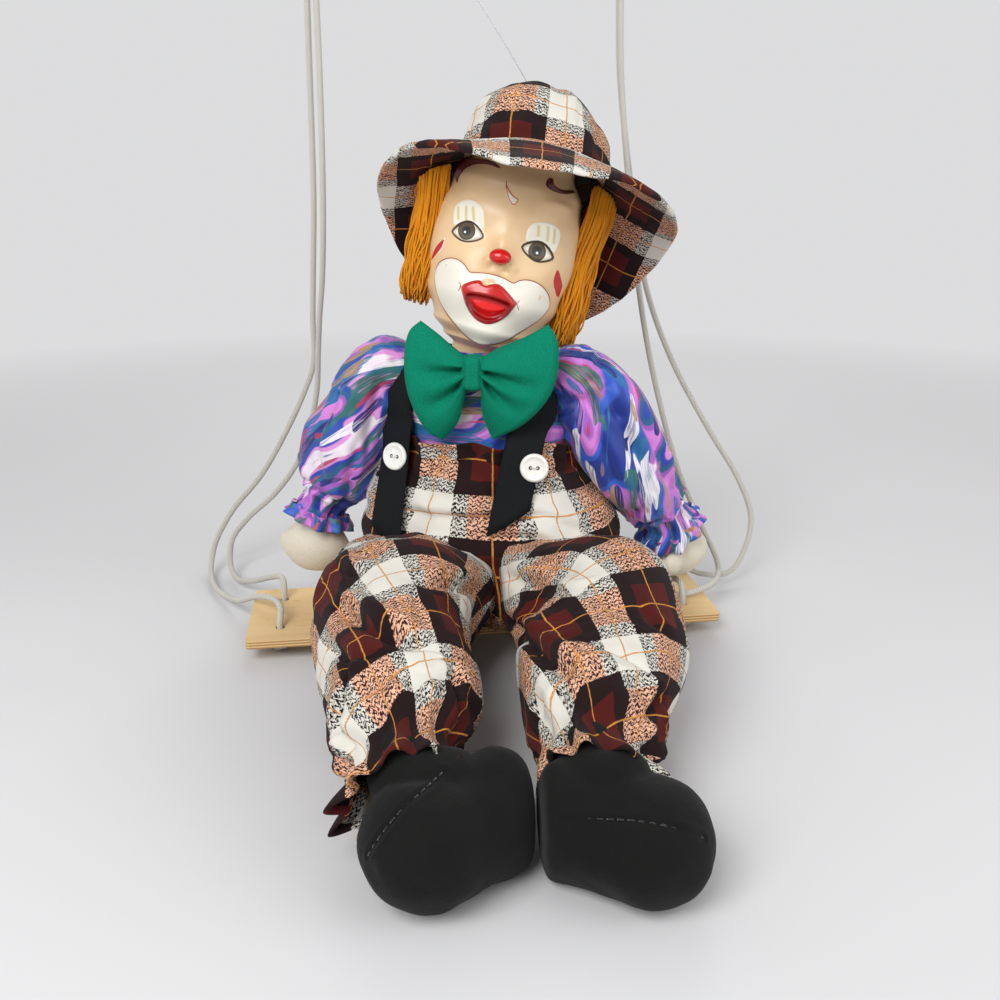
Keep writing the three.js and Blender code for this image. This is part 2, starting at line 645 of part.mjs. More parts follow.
// Room for the thighs: their rounded ends, and all that they sweep through up to their full lift
function lapRoom() {
  const r = hipRollRadius + jointGap;
  const lift = hipLift * degree;
  const flank = legSides.left.thighHalfHeight * 1.08 + gap;
  const reach = 120;
  const profile = new THREE.Shape();
  profile.moveTo(-jointGap, -80);
  profile.lineTo(-jointGap, -r);
  profile.absarc(0, 0, r, -Math.PI / 2, Math.PI / 2 + lift, true);
  const step = new THREE.Vector2(-jointGap, r).rotateAround(new THREE.Vector2(), lift);
  const shoulder = new THREE.Vector2(-jointGap, flank).rotateAround(new THREE.Vector2(), lift);
  const far = new THREE.Vector2(reach, flank).rotateAround(new THREE.Vector2(), lift);
  profile.lineTo(step.x, step.y);
  profile.lineTo(shoulder.x, shoulder.y);
  profile.lineTo(far.x, far.y);
  profile.lineTo(reach, -80);
  const geometry = new THREE.ExtrudeGeometry(profile, { depth: 240, bevelEnabled: false, curveSegments: 14 });
  const frame = new THREE.Matrix4().makeBasis(legAhead, up, V(0, 0, 0).crossVectors(legAhead, up));
  geometry.translate(0, 0, -120).applyMatrix4(frame);
  const hip = legSides.right.hip;
  return solid(geometry.translate(0, hip.y + hip.x * Math.tan(legHeading * degree), hip.z));
}

const legRoom = lapRoom();
const seat = largest(cut(
  solid(seatBody), beyond(V(0, 0, plankTop + 0.3), V(0, 0, -1)), around(shirtBody), around(stuffedBody),
  legRoom,
));
hang(doll, 'trouser_seat', seat, plaid);

const chestTurned = (angle) => turned(chestAhead, up, angle);

// Arms: puffed sleeves gathered at the wrist, ruffles and stuffed mitts
const armSides = {
  right: {
    shoulder: V(-43, 13, shoulderHeight - 13), elbow: V(-65, 19, 90), wrist: V(-77, 24, 57), palm: V(-81, 22, 38),
    thumb: V(-99, 24, 42), lift: chestTurned(-18), puff: 21, outward: 1,
  },
  left: {
    shoulder: V(43, -19, shoulderHeight - 13), elbow: V(72, -18, 88), wrist: V(90, -8, 53), palm: V(96.5, -3, 34.5),
    thumb: V(87, -19, 32), lift: chestTurned(26), puff: 22, outward: -1,
  },
};

const armAxis = (arm) => V(0, 0, 0).crossVectors(arm.lift, up).multiplyScalar(arm.outward);

function sleeveBody(arm) {
  const inward = arm.shoulder.clone().sub(arm.elbow).normalize();
  return softBody({
    path: [
      arm.shoulder.clone().addScaledVector(inward, 12), arm.shoulder,
      arm.elbow, arm.wrist.clone().lerp(arm.elbow, 0.15), arm.wrist.clone().lerp(arm.elbow, -0.25),
    ],
    radii: keyed([
      [0, 13, 13], [0.28, 17, 17], [0.61, arm.puff, arm.puff], [0.78, arm.puff - 4, arm.puff - 4],
      [0.9, 11.5, 11.5], [1, 10.5, 10.5],
    ]),
    across: V(0, 1, 0), sides: 16, steps: 11, roundness: 0.12,
    fold: (t, angle) => 0.05 * Math.sin(16 * t + 3 * angle)
      + 0.07 * THREE.MathUtils.smoothstep(t, 0.55, 0.95) * Math.sin(7 * angle),
  });
}

function mittBody(arm) {
  const down = arm.palm.clone().sub(arm.wrist).normalize();
  const palm = softBody({
    path: [
      arm.wrist.clone().addScaledVector(down, -2), arm.wrist.clone().addScaledVector(down, 6),
      arm.palm, arm.palm.clone().addScaledVector(down, 13),
    ],
    radii: keyed([[0, 5.5, 5.5], [0.32, 6.5, 6.2], [0.65, 14, 9], [1, 12, 8]]),
    across: V(1, 0, 0), sides: 10, steps: 8, roundness: 0.25,
  });
  const thumb = softBody({
    path: [arm.palm.clone().addScaledVector(down, -4), arm.palm.clone().lerp(arm.thumb, 0.6), arm.thumb],
    radii: keyed([[0, 6, 6], [0.6, 5.6, 5.6], [1, 4.5, 4.5]]),
    across: up, sides: 8, steps: 6, roundness: 0.35,
  });
  return joined(solid(palm), solid(thumb), ball(arm.wrist, wristBallRadius, 12));
}

for (const [name, arm] of Object.entries(armSides)) {
  const axis = armAxis(arm);
  const armGroup = jointGroup(doll, arm.shoulder, `shoulder_${name}`);
  const wristGroup = jointGroup(armGroup, arm.wrist, `wrist_${name}`);
  const down = arm.palm.clone().sub(arm.wrist).normalize();
  const wristSocket = socket(arm.wrist, down, wristBallRadius, wristMouth, 16);
  const armhole = axis.clone().multiplyScalar(armholeOffset + gap);
  const cuffStart = arm.wrist.clone().addScaledVector(down, 1.5);
  const sleeve = largest(cut(
    solid(sleeveBody(arm)).intersect(beyond(armhole, axis)),
    wristSocket, beyond(cuffStart, down), around(seatBody),
  ));
  const cuff = solid(ruffle(
    cuffStart.clone().addScaledVector(down, gap), down, V(1, 0, 0), wristBallRadius + 1.2, 14.5, 6.5, 7, 1.4,
  ));
  hang(armGroup, `sleeve_${name}`, sleeve, print);
  hang(armGroup, `sleeve_ruffle_${name}`, largest(cuff.subtract(wristSocket)), print);
  hang(wristGroup, `hand_${name}`, mittBody(arm), mittCloth);
}
const armholes = Object.values(armSides)
  .map((arm) => beyond(armAxis(arm).multiplyScalar(armholeOffset), armAxis(arm)));
const shirt = largest(cut(solid(shirtBody), around(stuffedBody), collarRoom, legRoom, ...armholes));
const core = largest(cut(solid(stuffedBody), neckSocket, collarRoom, legRoom, ...armholes));
hang(doll, 'stuffed_body', core, bodyCloth);
hang(doll, 'shirt', shirt, print);

// Straps: bands over the shoulders that end below the buttons on the trousers
const clothed = joined(around(shirtBody), around(seatBody));
const strapOuter = gap + strapThickness;
const clothedOuter = joined(around(shirtBody, strapOuter), around(seatBody, strapOuter));

// Two-hole buttons where the straps fasten
function buttonBody() {
  const r = buttonDiameter / 2;
  const t = buttonThickness;
  const profile = [
    [0, 0], [r - 0.7, 0], [r, t * 0.45], [r - 0.5, t], [r - 1.6, t], [r - 2.2, t * 0.7], [0, t * 0.7],
  ];
  const disc = solid(new THREE.LatheGeometry(profile.map(([x, y]) => new THREE.Vector2(x, y)), 16)
    .rotateX(Math.PI / 2));
  const holes = [-1, 1].map((sign) => solid(new THREE.CylinderGeometry(0.9, 0.9, 4 * t, 8)
    .rotateX(Math.PI / 2).translate((sign * buttonHoleSpacing) / 2, 0, 0)));
  return surface(cut(disc, ...holes));
}
const buttons = {};
for (const [name, sign] of [['right', -1], ['left', 1]]) {
  const aim = chestAhead.clone().addScaledVector(chestSide, sign * 0.5).normalize();
  const start = chestSide.clone().multiplyScalar(sign * strapSpread).setZ(buttonHeight);
  const wall = surface(clothedOuter);
  const material = new THREE.MeshBasicMaterial({ side: THREE.DoubleSide });
  const far = start.clone().addScaledVector(chestAhead, 120);
  const inward = new THREE.Raycaster(far, chestAhead.clone().negate());
  const hit = inward.intersectObject(new THREE.Mesh(wall, material));
  const seatPoint = hit[0].point.clone().addScaledVector(aim, 2.3);
  const button = buttonBody().applyQuaternion(new THREE.Quaternion().setFromUnitVectors(V(0, 0, 1), aim));
  buttons[name] = button.translate(seatPoint.x, seatPoint.y, seatPoint.z);
  hang(doll, `button_${name}`, buttons[name], buttonPlastic);
}

for (const [name, sign] of [['right', -1], ['left', 1]]) {
  const centre = chestSide.clone().multiplyScalar(sign * strapSpread);
  const band = solid(new THREE.BoxGeometry(strapWidth, 160, 120)
    .rotateZ(-facing * degree).translate(centre.x, centre.y, strapEndHeight + 60));
  const keep = clothedOuter.subtract(clothed).intersect(band);
  const strap = largest(cut(keep, legRoom, collarRoom, around(buttons[name])));
  hang(doll, `strap_${name}`, strap, strapCloth);
}

// Head: a hollow porcelain shell, open at the neck and at the crown under the hat
const skullKeys = keyed([
  [0, neckRadius + 1.4, neckRadius + 1.4, neckRadius + 1.4], [4, neckRadius, neckRadius, neckRadius],
  [chinHeight - 3, neckRadius, neckRadius + 1, neckRadius], [chinHeight + 1, 18, 23, 14.5],
  [chinHeight + 7, 24, 26.5, 20], [34, headHalfWidth - 3, faceDepth - 0.5, napeDepth - 4],
  [52, headHalfWidth, faceDepth, napeDepth], [66, headHalfWidth - 0.5, faceDepth - 1, napeDepth],
  [80, headHalfWidth - 3.5, faceDepth - 3, napeDepth - 2.5],
  [92, headHalfWidth - 10, faceDepth - 9, napeDepth - 7], [skullTop, 12, 11, 13],
]);

// How far the face stands out beside the plain egg of the head, at a place across and up the face.
function relief(x, z) {
  const swell = (cx, cz, wide, tall, amount) => {
    const away = ((x - cx) / wide) ** 2 + ((z - cz) / tall) ** 2;
    return amount * Math.exp(-away);
  };
  return swell(-19, 38, 9, 9, 2.2) + swell(19, 38, 9, 9, 2.2) + swell(0, 30, 14, 10, 2.6)
    + swell(0, 16, 10, 5, 1.5) + swell(-16, 57, 9, 6, -2.4) + swell(16, 57, 9, 6, -2.4)
    + swell(0, noseHeight + 3, 5, 9, 2.2) + swell(0, 27, 8, 3.5, -1.6);
}

function headRing(height, inset) {
  const [wide, front, back] = skullKeys(height);
  const sides = 24;
  const ring = [];
  for (let k = 0; k < sides; k++) {
    const angle = (2 * Math.PI * k) / sides;
    const x = (wide - inset) * Math.cos(angle);
    const ahead = -Math.sin(angle);
    const depth = (ahead > 0 ? front : back) - inset;
    const raised = inset > 0 || ahead < 0 ? 0 : relief(x, height) * ahead;
    ring.push(V(x, -ahead * depth - raised, height));
  }
  return ring;
}

const outerHeights = [0, 4, 9, 13.5, 19, 25, 31, 38, 45, 51, 57, 64, 74, 86, 95, skullTop];
const innerHeights = [skullTop, 88, 60, 34, 19, 13.5, 0];
const outerRings = outerHeights.map((height) => headRing(height, 0));
const innerRings = innerHeights.map((height) => headRing(height, porcelainWall));
const headShell = solid(ringLoop([...outerRings, ...innerRings]));
const noseY = -faceDepth - relief(0, noseHeight) - 0.8;
const nose = solid(egg(V(0, noseY, noseHeight), [noseRadius * 1.1, noseRadius, noseRadius * 0.95], 12));
const ears = [-1, 1].map((sign) => solid(egg(V(sign * (headHalfWidth - 0.6), 5, 45), [2.6, 5, 8], 10)));
const curl = solid(egg(V(19, -17, 83), [7, 4, 4.5], 12));
const headHollow = solid(ringSolid(innerRings, V(0, 0, skullTop), V(0, 0, 0)));
const headRoom = joined(
  solid(grown(ringSolid(outerRings, V(0, 0, 0), V(0, 0, skullTop)), gap)),
  ...[curl, ...ears].map((lump) => around(surface(lump))),
);

function wear(group, name, shape, material) {
  const mesh = new THREE.Mesh(shape instanceof wasm.Manifold ? surface(shape) : welded(shape), material);
  mesh.name = name;
  group.add(mesh);
}

wear(headGroup, 'head', joined(headShell, cut(joined(nose, curl, ...ears), headHollow)), porcelain);

// The cloth neck's plug: a ball in the stuffed body, a collar that carries the head, a post inside it
const postRadius = neckRadius - porcelainWall - 0.7;
const plugProfile = [[0, -2], [postRadius, -2], [postRadius, 5.6], [neckRadius, 7.4], [neckRadius, 8.6],
  [postRadius, 8.6], [postRadius, 32], [postRadius - 2, 34], [0, 34]];
const plugPost = new THREE.LatheGeometry(plugProfile.map(([x, y]) => new THREE.Vector2(x, y)), 12)
  .rotateX(Math.PI / 2);
wear(neckGroup, 'neck_plug', joined(ball(V(0, 0, 0), neckBallRadius, 12), solid(plugPost)), bodyCloth);

// Hat: a soft crown and a bucket brim whose front edge is doubled
const hatGroup = new THREE.Group();
hatGroup.position.copy(hatPlace);
hatGroup.rotation.set(-hatTilt * degree, hatRoll * degree, 0, 'YXZ');
headGroup.add(hatGroup);
hatGroup.updateMatrix();
const intoHat = (manifold) => manifold.transform(hatGroup.matrix.clone().invert().elements);
const ontoHead = (geometry) => geometry.clone().applyMatrix4(hatGroup.matrix);

function crownForm(radius, height, foot) {
  const rings = [];
  const sides = 20;
  for (const [share, rise] of [[1, 0], [1.01, 0.25], [0.95, 0.52], [0.8, 0.78], [0.5, 0.95]]) {
    const ring = [];
    for (let k = 0; k < sides; k++) {
      const angle = (2 * Math.PI * k) / sides;
      const slump = 1 + 0.035 * rise * Math.sin(3 * angle + 1);
      const reach = radius * share * slump;
      ring.push(V(reach * Math.cos(angle), reach * Math.sin(angle), foot + (height - foot) * rise));
    }
    rings.push(ring);
  }
  return ringSolid(rings, V(0, 0, foot), V(0, 0, height));
}
const crownOuter = crownForm(crownRadius, crownHeight, 0);
const crownInner = crownForm(crownRadius - hatCloth, crownHeight - hatCloth, -3);
wear(hatGroup, 'hat_crown', largest(cut(solid(crownOuter), solid(crownInner), intoHat(headRoom))), plaid);

function brimForm() {
  const sides = 30;
  const foot = crownRadius + 0.3;
  const rings = [];
  for (let k = 0; k < sides; k++) {
    const angle = (2 * Math.PI * k) / sides;
    const curled = brimCurl * Math.cos(2 * angle) + 1.6 * Math.sin(5 * angle + 0.6);
    const ring = [];
    const front = Math.max(0, -Math.sin(angle));
    for (const [share, level] of [[0, 0.5], [0.5, 0.5], [0.93, 0.55 + 0.5 * front], [1, 0.1],
      [0.93, -0.5 - 0.3 * front], [0.5, -0.5], [0, -0.5]]) {
      const reach = foot + (brimRadius - foot) * share;
      const drop = -brimDrop * share ** 1.1 + curled * share ** 1.6;
      ring.push(V(reach * Math.cos(angle), reach * Math.sin(angle), 1.5 + drop + level * brimThickness));
    }
    rings.push(ring);
  }
  return ringLoop(rings);
}
const brim = brimForm();
wear(hatGroup, 'hat_brim', largest(cut(solid(brim), intoHat(headRoom))), plaid);

// Hair: locks at both sides and the back, under the hat
const hatRoom = joined(around(ontoHead(brim), 1), around(ontoHead(crownOuter), 0.5));
const lockRight = egg(V(-32, 6, 48), [10, 15, 30], 12);
const lockLeft = egg(V(33, 8, 44), [10, 15, 33], 12);
const lockBack = egg(V(0, 24, 48), [29, 17, 33], 12);
const neckRoom = solid(new THREE.CylinderGeometry(neckRadius + 5, neckRadius + 5, 40, 18)
  .rotateX(Math.PI / 2));
for (const [name, lock, others] of [
  ['hair_right', lockRight, []], ['hair_left', lockLeft, []], ['hair_back', lockBack, [lockRight, lockLeft]],
]) {
  const tools = others.map((other) => around(other));
  wear(headGroup, name, largest(cut(solid(lock), headRoom, hatRoom, neckRoom, ...tools)), orangeYarn);
}

// The clear line that the doll hangs from in a shop or a room, up to a small loop
const lineFoot = V(2, -1, crownHeight + 0.4);
const lineTop = headGroup.worldToLocal(V(-2, 9, neckBase.z + lineTopHeight));
const footOnHead = lineFoot.clone().applyMatrix4(hatGroup.matrix);
const lineRoute = [footOnHead, footOnHead.clone().lerp(lineTop, 0.5).add(V(0.6, 0, 0)), lineTop];
wear(headGroup, 'head_line', cordTube(lineRoute, lineDiameter, 9), nylon);
const loopWire = 0.8;
const lineEnd = lineTop.clone().sub(lineRoute[1]).normalize();
const lineLoop = new THREE.TorusGeometry(lineLoopRadius, loopWire, 5, 12)
  .applyQuaternion(new THREE.Quaternion().setFromUnitVectors(V(0, 1, 0), lineEnd));
const loopPlace = lineTop.clone().addScaledVector(lineEnd, lineLoopRadius + loopWire + 0.3);
wear(headGroup, 'head_line_loop', lineLoop.translate(loopPlace.x, loopPlace.y, loopPlace.z), nylon);

// Bow tie: two pleated wings and a knot
const bowKnotPlace = V(-7.4, -34.6, shoulderHeight - 2);
const bowSides = {
  right: { tip: V(-35, -29, shoulderHeight - 5), halfHeight: 25, lean: V(-5, -13, 24).normalize() },
  left: { tip: V(26, -42, shoulderHeight - 6), halfHeight: 25, lean: V(12, 2, 24).normalize() },
};
const bowHalfThickness = 5.5;

function bowWing(side) {
  const start = bowKnotPlace.clone().lerp(side.tip, 0.1);
  return softBody({
    path: [start, bowKnotPlace.clone().lerp(side.tip, 0.5), side.tip],
    radii: keyed([[0, 8, 4.5], [0.45, 16, bowHalfThickness], [1, side.halfHeight, bowHalfThickness]]),
    across: side.lean, sides: 16, steps: 8, roundness: 0.1,
    fold: (t, angle) => 0.14 * (1 - t) * Math.cos(8 * angle),
  });
}
const bowKnot = softBody({
  path: [bowKnotPlace.clone().add(V(0, 0, -14)), bowKnotPlace, bowKnotPlace.clone().add(V(0, 0, 14))],
  radii: keyed([[0, 8, 7], [0.5, 6.5, 7.5], [1, 8.5, 7]]), across: V(1, 0, 0), sides: 12, steps: 8,
});
const bowRoom = [around(bowKnot), clothedOuter];
for (const [name, side] of Object.entries(bowSides)) {
  hang(doll, `bow_wing_${name}`, largest(cut(solid(bowWing(side)), ...bowRoom)), ribbon);
}
hang(doll, 'bow_knot', largest(cut(solid(bowKnot), clothed)), ribbon);

// The origin: under the middle of the doll and its plank, on the floor
const onCords = /^(cord|stopper_knot|hanging_loop|head_line)/;
const box = new THREE.Box3();
doll.updateMatrixWorld(true);
doll.traverse((object) => {
  if (object.isMesh && !onCords.test(object.name)) {
    box.expandByObject(object, true);
  }
});
const middle = box.getCenter(new THREE.Vector3());
doll.position.set(-middle.x, -middle.y, 0);

export default doll;
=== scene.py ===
import math

import bpy
import numpy as np
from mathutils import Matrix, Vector
from mathutils.bvhtree import BVHTree


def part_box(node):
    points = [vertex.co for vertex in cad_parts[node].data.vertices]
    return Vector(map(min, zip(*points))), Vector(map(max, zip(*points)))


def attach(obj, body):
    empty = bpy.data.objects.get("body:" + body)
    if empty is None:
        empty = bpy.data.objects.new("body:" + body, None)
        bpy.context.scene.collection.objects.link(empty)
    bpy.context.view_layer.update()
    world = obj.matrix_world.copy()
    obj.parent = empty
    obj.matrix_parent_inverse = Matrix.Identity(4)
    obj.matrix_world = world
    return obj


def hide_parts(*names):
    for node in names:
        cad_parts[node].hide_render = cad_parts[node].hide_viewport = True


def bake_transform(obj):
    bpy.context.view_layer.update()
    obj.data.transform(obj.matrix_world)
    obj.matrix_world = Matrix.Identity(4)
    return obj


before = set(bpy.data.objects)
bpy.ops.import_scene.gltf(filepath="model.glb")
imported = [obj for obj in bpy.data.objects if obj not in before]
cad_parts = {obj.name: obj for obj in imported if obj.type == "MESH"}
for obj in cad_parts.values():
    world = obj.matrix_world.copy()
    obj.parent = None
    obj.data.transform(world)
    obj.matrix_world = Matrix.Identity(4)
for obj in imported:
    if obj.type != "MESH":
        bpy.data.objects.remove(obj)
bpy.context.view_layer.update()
RNG = np.random.default_rng(7)
TRUNK, HEAD = "swing_and_trunk", "head_and_hat"

# The modelling frame is in millimetres, with the plank's middle at x = y = 0.
_lo, _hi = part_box("swing_plank")
SHIFT = np.array([(_lo.x + _hi.x) * 500, (_lo.y + _hi.y) * 500, 0.0])


def A(*p):
    """A place or direction from its coordinates."""
    return np.array(p, float)


def metres(p):
    """Places of the modelling frame in the shared frame."""
    return (np.asarray(p, float) + SHIFT) / 1000


def unit(v):
    v = np.asarray(v, float)
    return v / np.linalg.norm(v)


# ---- Camera, from the photograph's viewing angle
EYE = A(-55.45, -457.5, 214)
AZIMUTH, PITCH = math.radians(8), math.radians(18)
FRAME, FOCAL = 1000, 1003.0  # both in pixels
SENSOR = 36
camera = bpy.data.cameras.new("camera")
camera.sensor_width = SENSOR
camera.lens = SENSOR * FOCAL / FRAME
camera.clip_start = 0.02
camera_object = bpy.data.objects.new("camera", camera)
camera_object.location = metres(EYE)
camera_object.rotation_euler = (math.pi / 2 - PITCH, 0, -AZIMUTH)
bpy.context.collection.objects.link(camera_object)
bpy.context.scene.camera = camera_object

AHEAD = A(math.sin(AZIMUTH) * math.cos(PITCH), math.cos(AZIMUTH) * math.cos(PITCH), -math.sin(PITCH))
RIGHT = A(math.cos(AZIMUTH), -math.sin(AZIMUTH), 0)
UPWARD = np.cross(RIGHT, AHEAD)


def sight(px, py):
    """The direction from the camera through a pixel of the frame."""
    return unit(AHEAD + RIGHT * (px - FRAME / 2) / FOCAL - UPWARD * (py - FRAME / 2) / FOCAL)


# ---- Curves and meshes
def spline(points, count, closed=False):
    """Centripetal Catmull-Rom curve through points, as count places an even distance apart."""
    p = [A(*q) for q in points]
    p = [p[-1], *p, p[0], p[1]] if closed else [2 * p[0] - p[1], *p, 2 * p[-1] - p[-2]]
    out = []
    for i in range(1, len(p) - 2):
        a, b, c, d = p[i - 1], p[i], p[i + 1], p[i + 2]
        t0, t1, t2 = (max(np.linalg.norm(v - u), 1e-6) ** 0.5 for u, v in ((a, b), (b, c), (c, d)))
        m1 = t1 * ((b - a) / t0 - (c - a) / (t0 + t1) + (c - b) / t1)
        m2 = t1 * ((c - b) / t1 - (d - b) / (t1 + t2) + (d - c) / t2)
        for t in np.linspace(0, 1, 24, endpoint=False):
            h = (2 * t**3 - 3 * t**2 + 1, t**3 - 2 * t**2 + t, -2 * t**3 + 3 * t**2, t**3 - t**2)
            out.append(h[0] * b + h[1] * m1 + h[2] * c + h[3] * m2)
    out.append(p[-2])
    out = np.array(out)
    far = np.concatenate([[0], np.cumsum(np.linalg.norm(np.diff(out, axis=0), axis=1))])
    even = np.linspace(0, far[-1], count)
    return np.column_stack([np.interp(even, far, out[:, k]) for k in range(3)])


def keyed(keys):
    """Smoothly eased values between rows of (place, value, value ...)."""
    keys = np.array(keys, float)

    def at(t):
        k = int(np.clip(np.searchsorted(keys[:, 0], t) - 1, 0, len(keys) - 2))
        s = np.clip((t - keys[k, 0]) / (keys[k + 1, 0] - keys[k, 0]), 0, 1)
        s = s * s * (3 - 2 * s)
        return keys[k, 1:] + (keys[k + 1, 1:] - keys[k, 1:]) * s

    return at


def smooth(x, low, high):
    """0 up to low, 1 from high on, and eased between."""
    t = np.clip((np.asarray(x, float) - low) / (high - low), 0, 1)
    return t * t * (3 - 2 * t)


def all_round(count):
    """Even angles round a full turn."""
    return 2 * np.pi * np.arange(count) / count


def frames_along(path, across):
    """Tangent, side and rise at each place of a path, the side kept near a given direction."""
    along = np.gradient(path, axis=0)
    along /= np.linalg.norm(along, axis=1, keepdims=True)
    side = across - along * (along @ across)[:, None]
    side /= np.linalg.norm(side, axis=1, keepdims=True)
    return along, side, np.cross(along, side)


def oval(middle, side, rise, wide, tall, angle):
    """Places round a middle, wide along side and tall along rise."""
    return middle + side * (wide * np.cos(angle))[..., None] + rise * (tall * np.sin(angle))[..., None]


def mesh_object(name, points, faces, uv=None, material=None):
    """A mesh piece from points in the modelling frame. uv holds one pair for each face corner."""
    mesh = bpy.data.meshes.new(name)
    mesh.from_pydata([tuple(p) for p in metres(points)], [], faces)
    if uv is not None:
        layer = mesh.uv_layers.new(name="cloth")
        layer.data.foreach_set("uv", np.asarray(uv, np.float32).ravel())
    mesh.shade_smooth()
    mesh.update()
    piece = bpy.data.objects.new(name, mesh)
    bpy.context.collection.objects.link(piece)
    if material:
        mesh.materials.append(material)
    return piece


def tube_faces(rings, sides, offset=0):
    """Quads between the rings of a tube whose points begin at offset."""
    i, k = np.meshgrid(np.arange(rings - 1), np.arange(sides), indexing="ij")
    n = (k + 1) % sides
    quad = np.stack([i * sides + k, i * sides + n, (i + 1) * sides + n, (i + 1) * sides + k], -1)
    return (quad.reshape(-1, 4) + offset).tolist()


def tube_uv(rings, sides, width, lengths):
    """Corner coordinates in mm for tube_faces: u runs round the tube, v along it."""
    i, k = np.meshgrid(np.arange(rings - 1), np.arange(sides), indexing="ij")
    u0, u1 = k * width / sides, (k + 1) * width / sides
    v0, v1 = lengths[i], lengths[i + 1]
    return np.stack([np.stack(c, -1) for c in ((u0, v0), (u1, v0), (u1, v1), (u0, v1))], -2).reshape(-1, 2)


def length_of(path):
    """The distance along a path at each of its places."""
    return np.concatenate([[0], np.cumsum(np.linalg.norm(np.diff(path, axis=0), axis=1))])


def capped(name, rings, material, width=None, lengths=None, caps=(True, True)):
    """A closed piece through an array of rings, its ends closed on their middles."""
    n, m = rings.shape[:2]
    points = list(rings.reshape(-1, 3))
    faces = tube_faces(n, m)
    uv = None if width is None else tube_uv(n, m, width, lengths)
    extra = []
    for wanted, ring, turn in ((caps[0], 0, 1), (caps[1], n - 1, -1)):
        if wanted:
            points.append(rings[ring].mean(0))
            tip = len(points) - 1
            for k in range(m):
                a, b = ring * m + k, ring * m + (k + 1) % m
                faces.append([tip, b, a][::turn])
                extra += [(0.0, lengths[ring])] * 3 if width is not None else []
    if uv is not None:
        uv = np.vstack([uv, np.array(extra).reshape(-1, 2)])
    return mesh_object(name, np.array(points), faces, uv, material)


def soft_rings(path, radii, across, sides, steps, dome, fold=None):
    """Rings of a swelling soft body along a path, rounded off over a share at each end (dome).
    fold(t, angle) is a share of the radius."""
    line = spline(path, 400)
    far = length_of(line) / length_of(line)[-1]
    t = (np.arange(steps) + 0.5) / steps
    centre = np.column_stack([np.interp(t, far, line[:, k]) for k in range(3)])
    _, side, rise = frames_along(centre, unit(across))
    angle = all_round(sides)
    out = np.empty((steps, sides, 3))
    for i in range(steps):
        edge = max(min([1.0] + [share / d for share, d in ((t[i], dome[0]), (1 - t[i], dome[1])) if d]), 1e-3)
        swell = math.sqrt(max(1 - (1 - edge) ** 2, 1e-4))
        wide, tall = radii(t[i])[:2]
        reach = swell * (1 + (fold(t[i], angle) * edge if fold else 0))
        out[i] = oval(centre[i], side[i], rise[i], wide * reach, tall * reach, angle)
    return out, t * length_of(line)[-1]


def wavy(p, scale, seed=0.0):
    """Smooth noise from -1 to 1 at an array of places, for folds and unevenness."""
    p = np.asarray(p, float) / scale + seed
    value = np.zeros(p.shape[:-1])
    for k, (a, b, c, weight) in enumerate((
        (1.0, 0.6, -0.4, 0.5), (-0.7, 1.3, 0.5, 0.3), (0.4, -0.9, 1.4, 0.25), (1.9, 0.8, 1.1, 0.15),
    )):
        bend = 0.9 * np.sin(p @ A(b, c, a) * 1.3 + 2.1 * k)
        value += weight * np.sin(p @ A(a, b, c) * 2.2 + bend + 1.7 * k + seed)
    return value / 1.1


SETTLE_SCALE = 100.0  # mm to a unit of the simulation


def settled(points, faces, pinned, grow, frames, cap, bend):
    """Lets cloth that is cut too large for its shape buckle into folds, and returns the places it takes.
    pinned holds 1 for points that stay, grow is the share by which the cloth is too large, and the simulation runs at
    ten times the size, which suits its step. No point moves further than cap mm."""
    scene = bpy.context.scene
    mesh = bpy.data.meshes.new("settle")
    mesh.from_pydata([tuple(p) for p in points / SETTLE_SCALE], [], faces)
    piece = bpy.data.objects.new("settle", mesh)
    bpy.context.collection.objects.link(piece)
    held = piece.vertex_groups.new(name="held")
    for weight in np.unique(np.round(pinned, 2)):
        if weight > 0:
            held.add(np.flatnonzero(np.round(pinned, 2) == weight).tolist(), float(weight), "REPLACE")
    cloth = piece.modifiers.new("cloth", "CLOTH")
    s = cloth.settings
    s.quality = 6
    s.mass = 0.15
    s.air_damping = 2
    s.tension_stiffness = s.compression_stiffness = 12
    s.shear_stiffness = 4
    s.bending_stiffness = bend
    s.vertex_group_mass = "held"
    s.pin_stiffness = 1
    s.shrink_min = -grow
    s.effector_weights.gravity = 0
    cloth.collision_settings.use_collision = False
    cloth.point_cache.frame_end = frames + 1
    for number in range(1, frames + 1):
        scene.frame_set(number)
    shape = piece.evaluated_get(bpy.context.evaluated_depsgraph_get()).data
    out = np.empty(len(points) * 3)
    shape.vertices.foreach_get("co", out)
    out = out.reshape(-1, 3) * SETTLE_SCALE
    bpy.data.objects.remove(piece)
    bpy.data.meshes.remove(mesh)
    scene.frame_set(1)
    moved = out - points
    size = np.linalg.norm(moved, axis=1, keepdims=True)
    size = np.where(np.isfinite(size) & (size > 1e-9), size, 1)
    return points + np.nan_to_num(moved) * np.minimum(1, cap / size)


def turned_cloth(piece, degrees, along=0.0):
    """Shifts the cloth's pattern on a piece round it, then turns it."""
    layer = piece.data.uv_layers[0].data
    uv = np.empty(2 * len(layer))
    layer.foreach_get("uv", uv)
    u, v = uv[0::2] + along, uv[1::2]
    turn = math.radians(degrees)
    layer.foreach_set("uv", np.column_stack([u * math.cos(turn) + v * math.sin(turn),
                                             v * math.cos(turn) - u * math.sin(turn)]).ravel().astype(np.float32))


def attribute(piece, name, values):
    piece.data.attributes.new(name, "FLOAT", "POINT").data.foreach_set("value", np.asarray(values, np.float32))


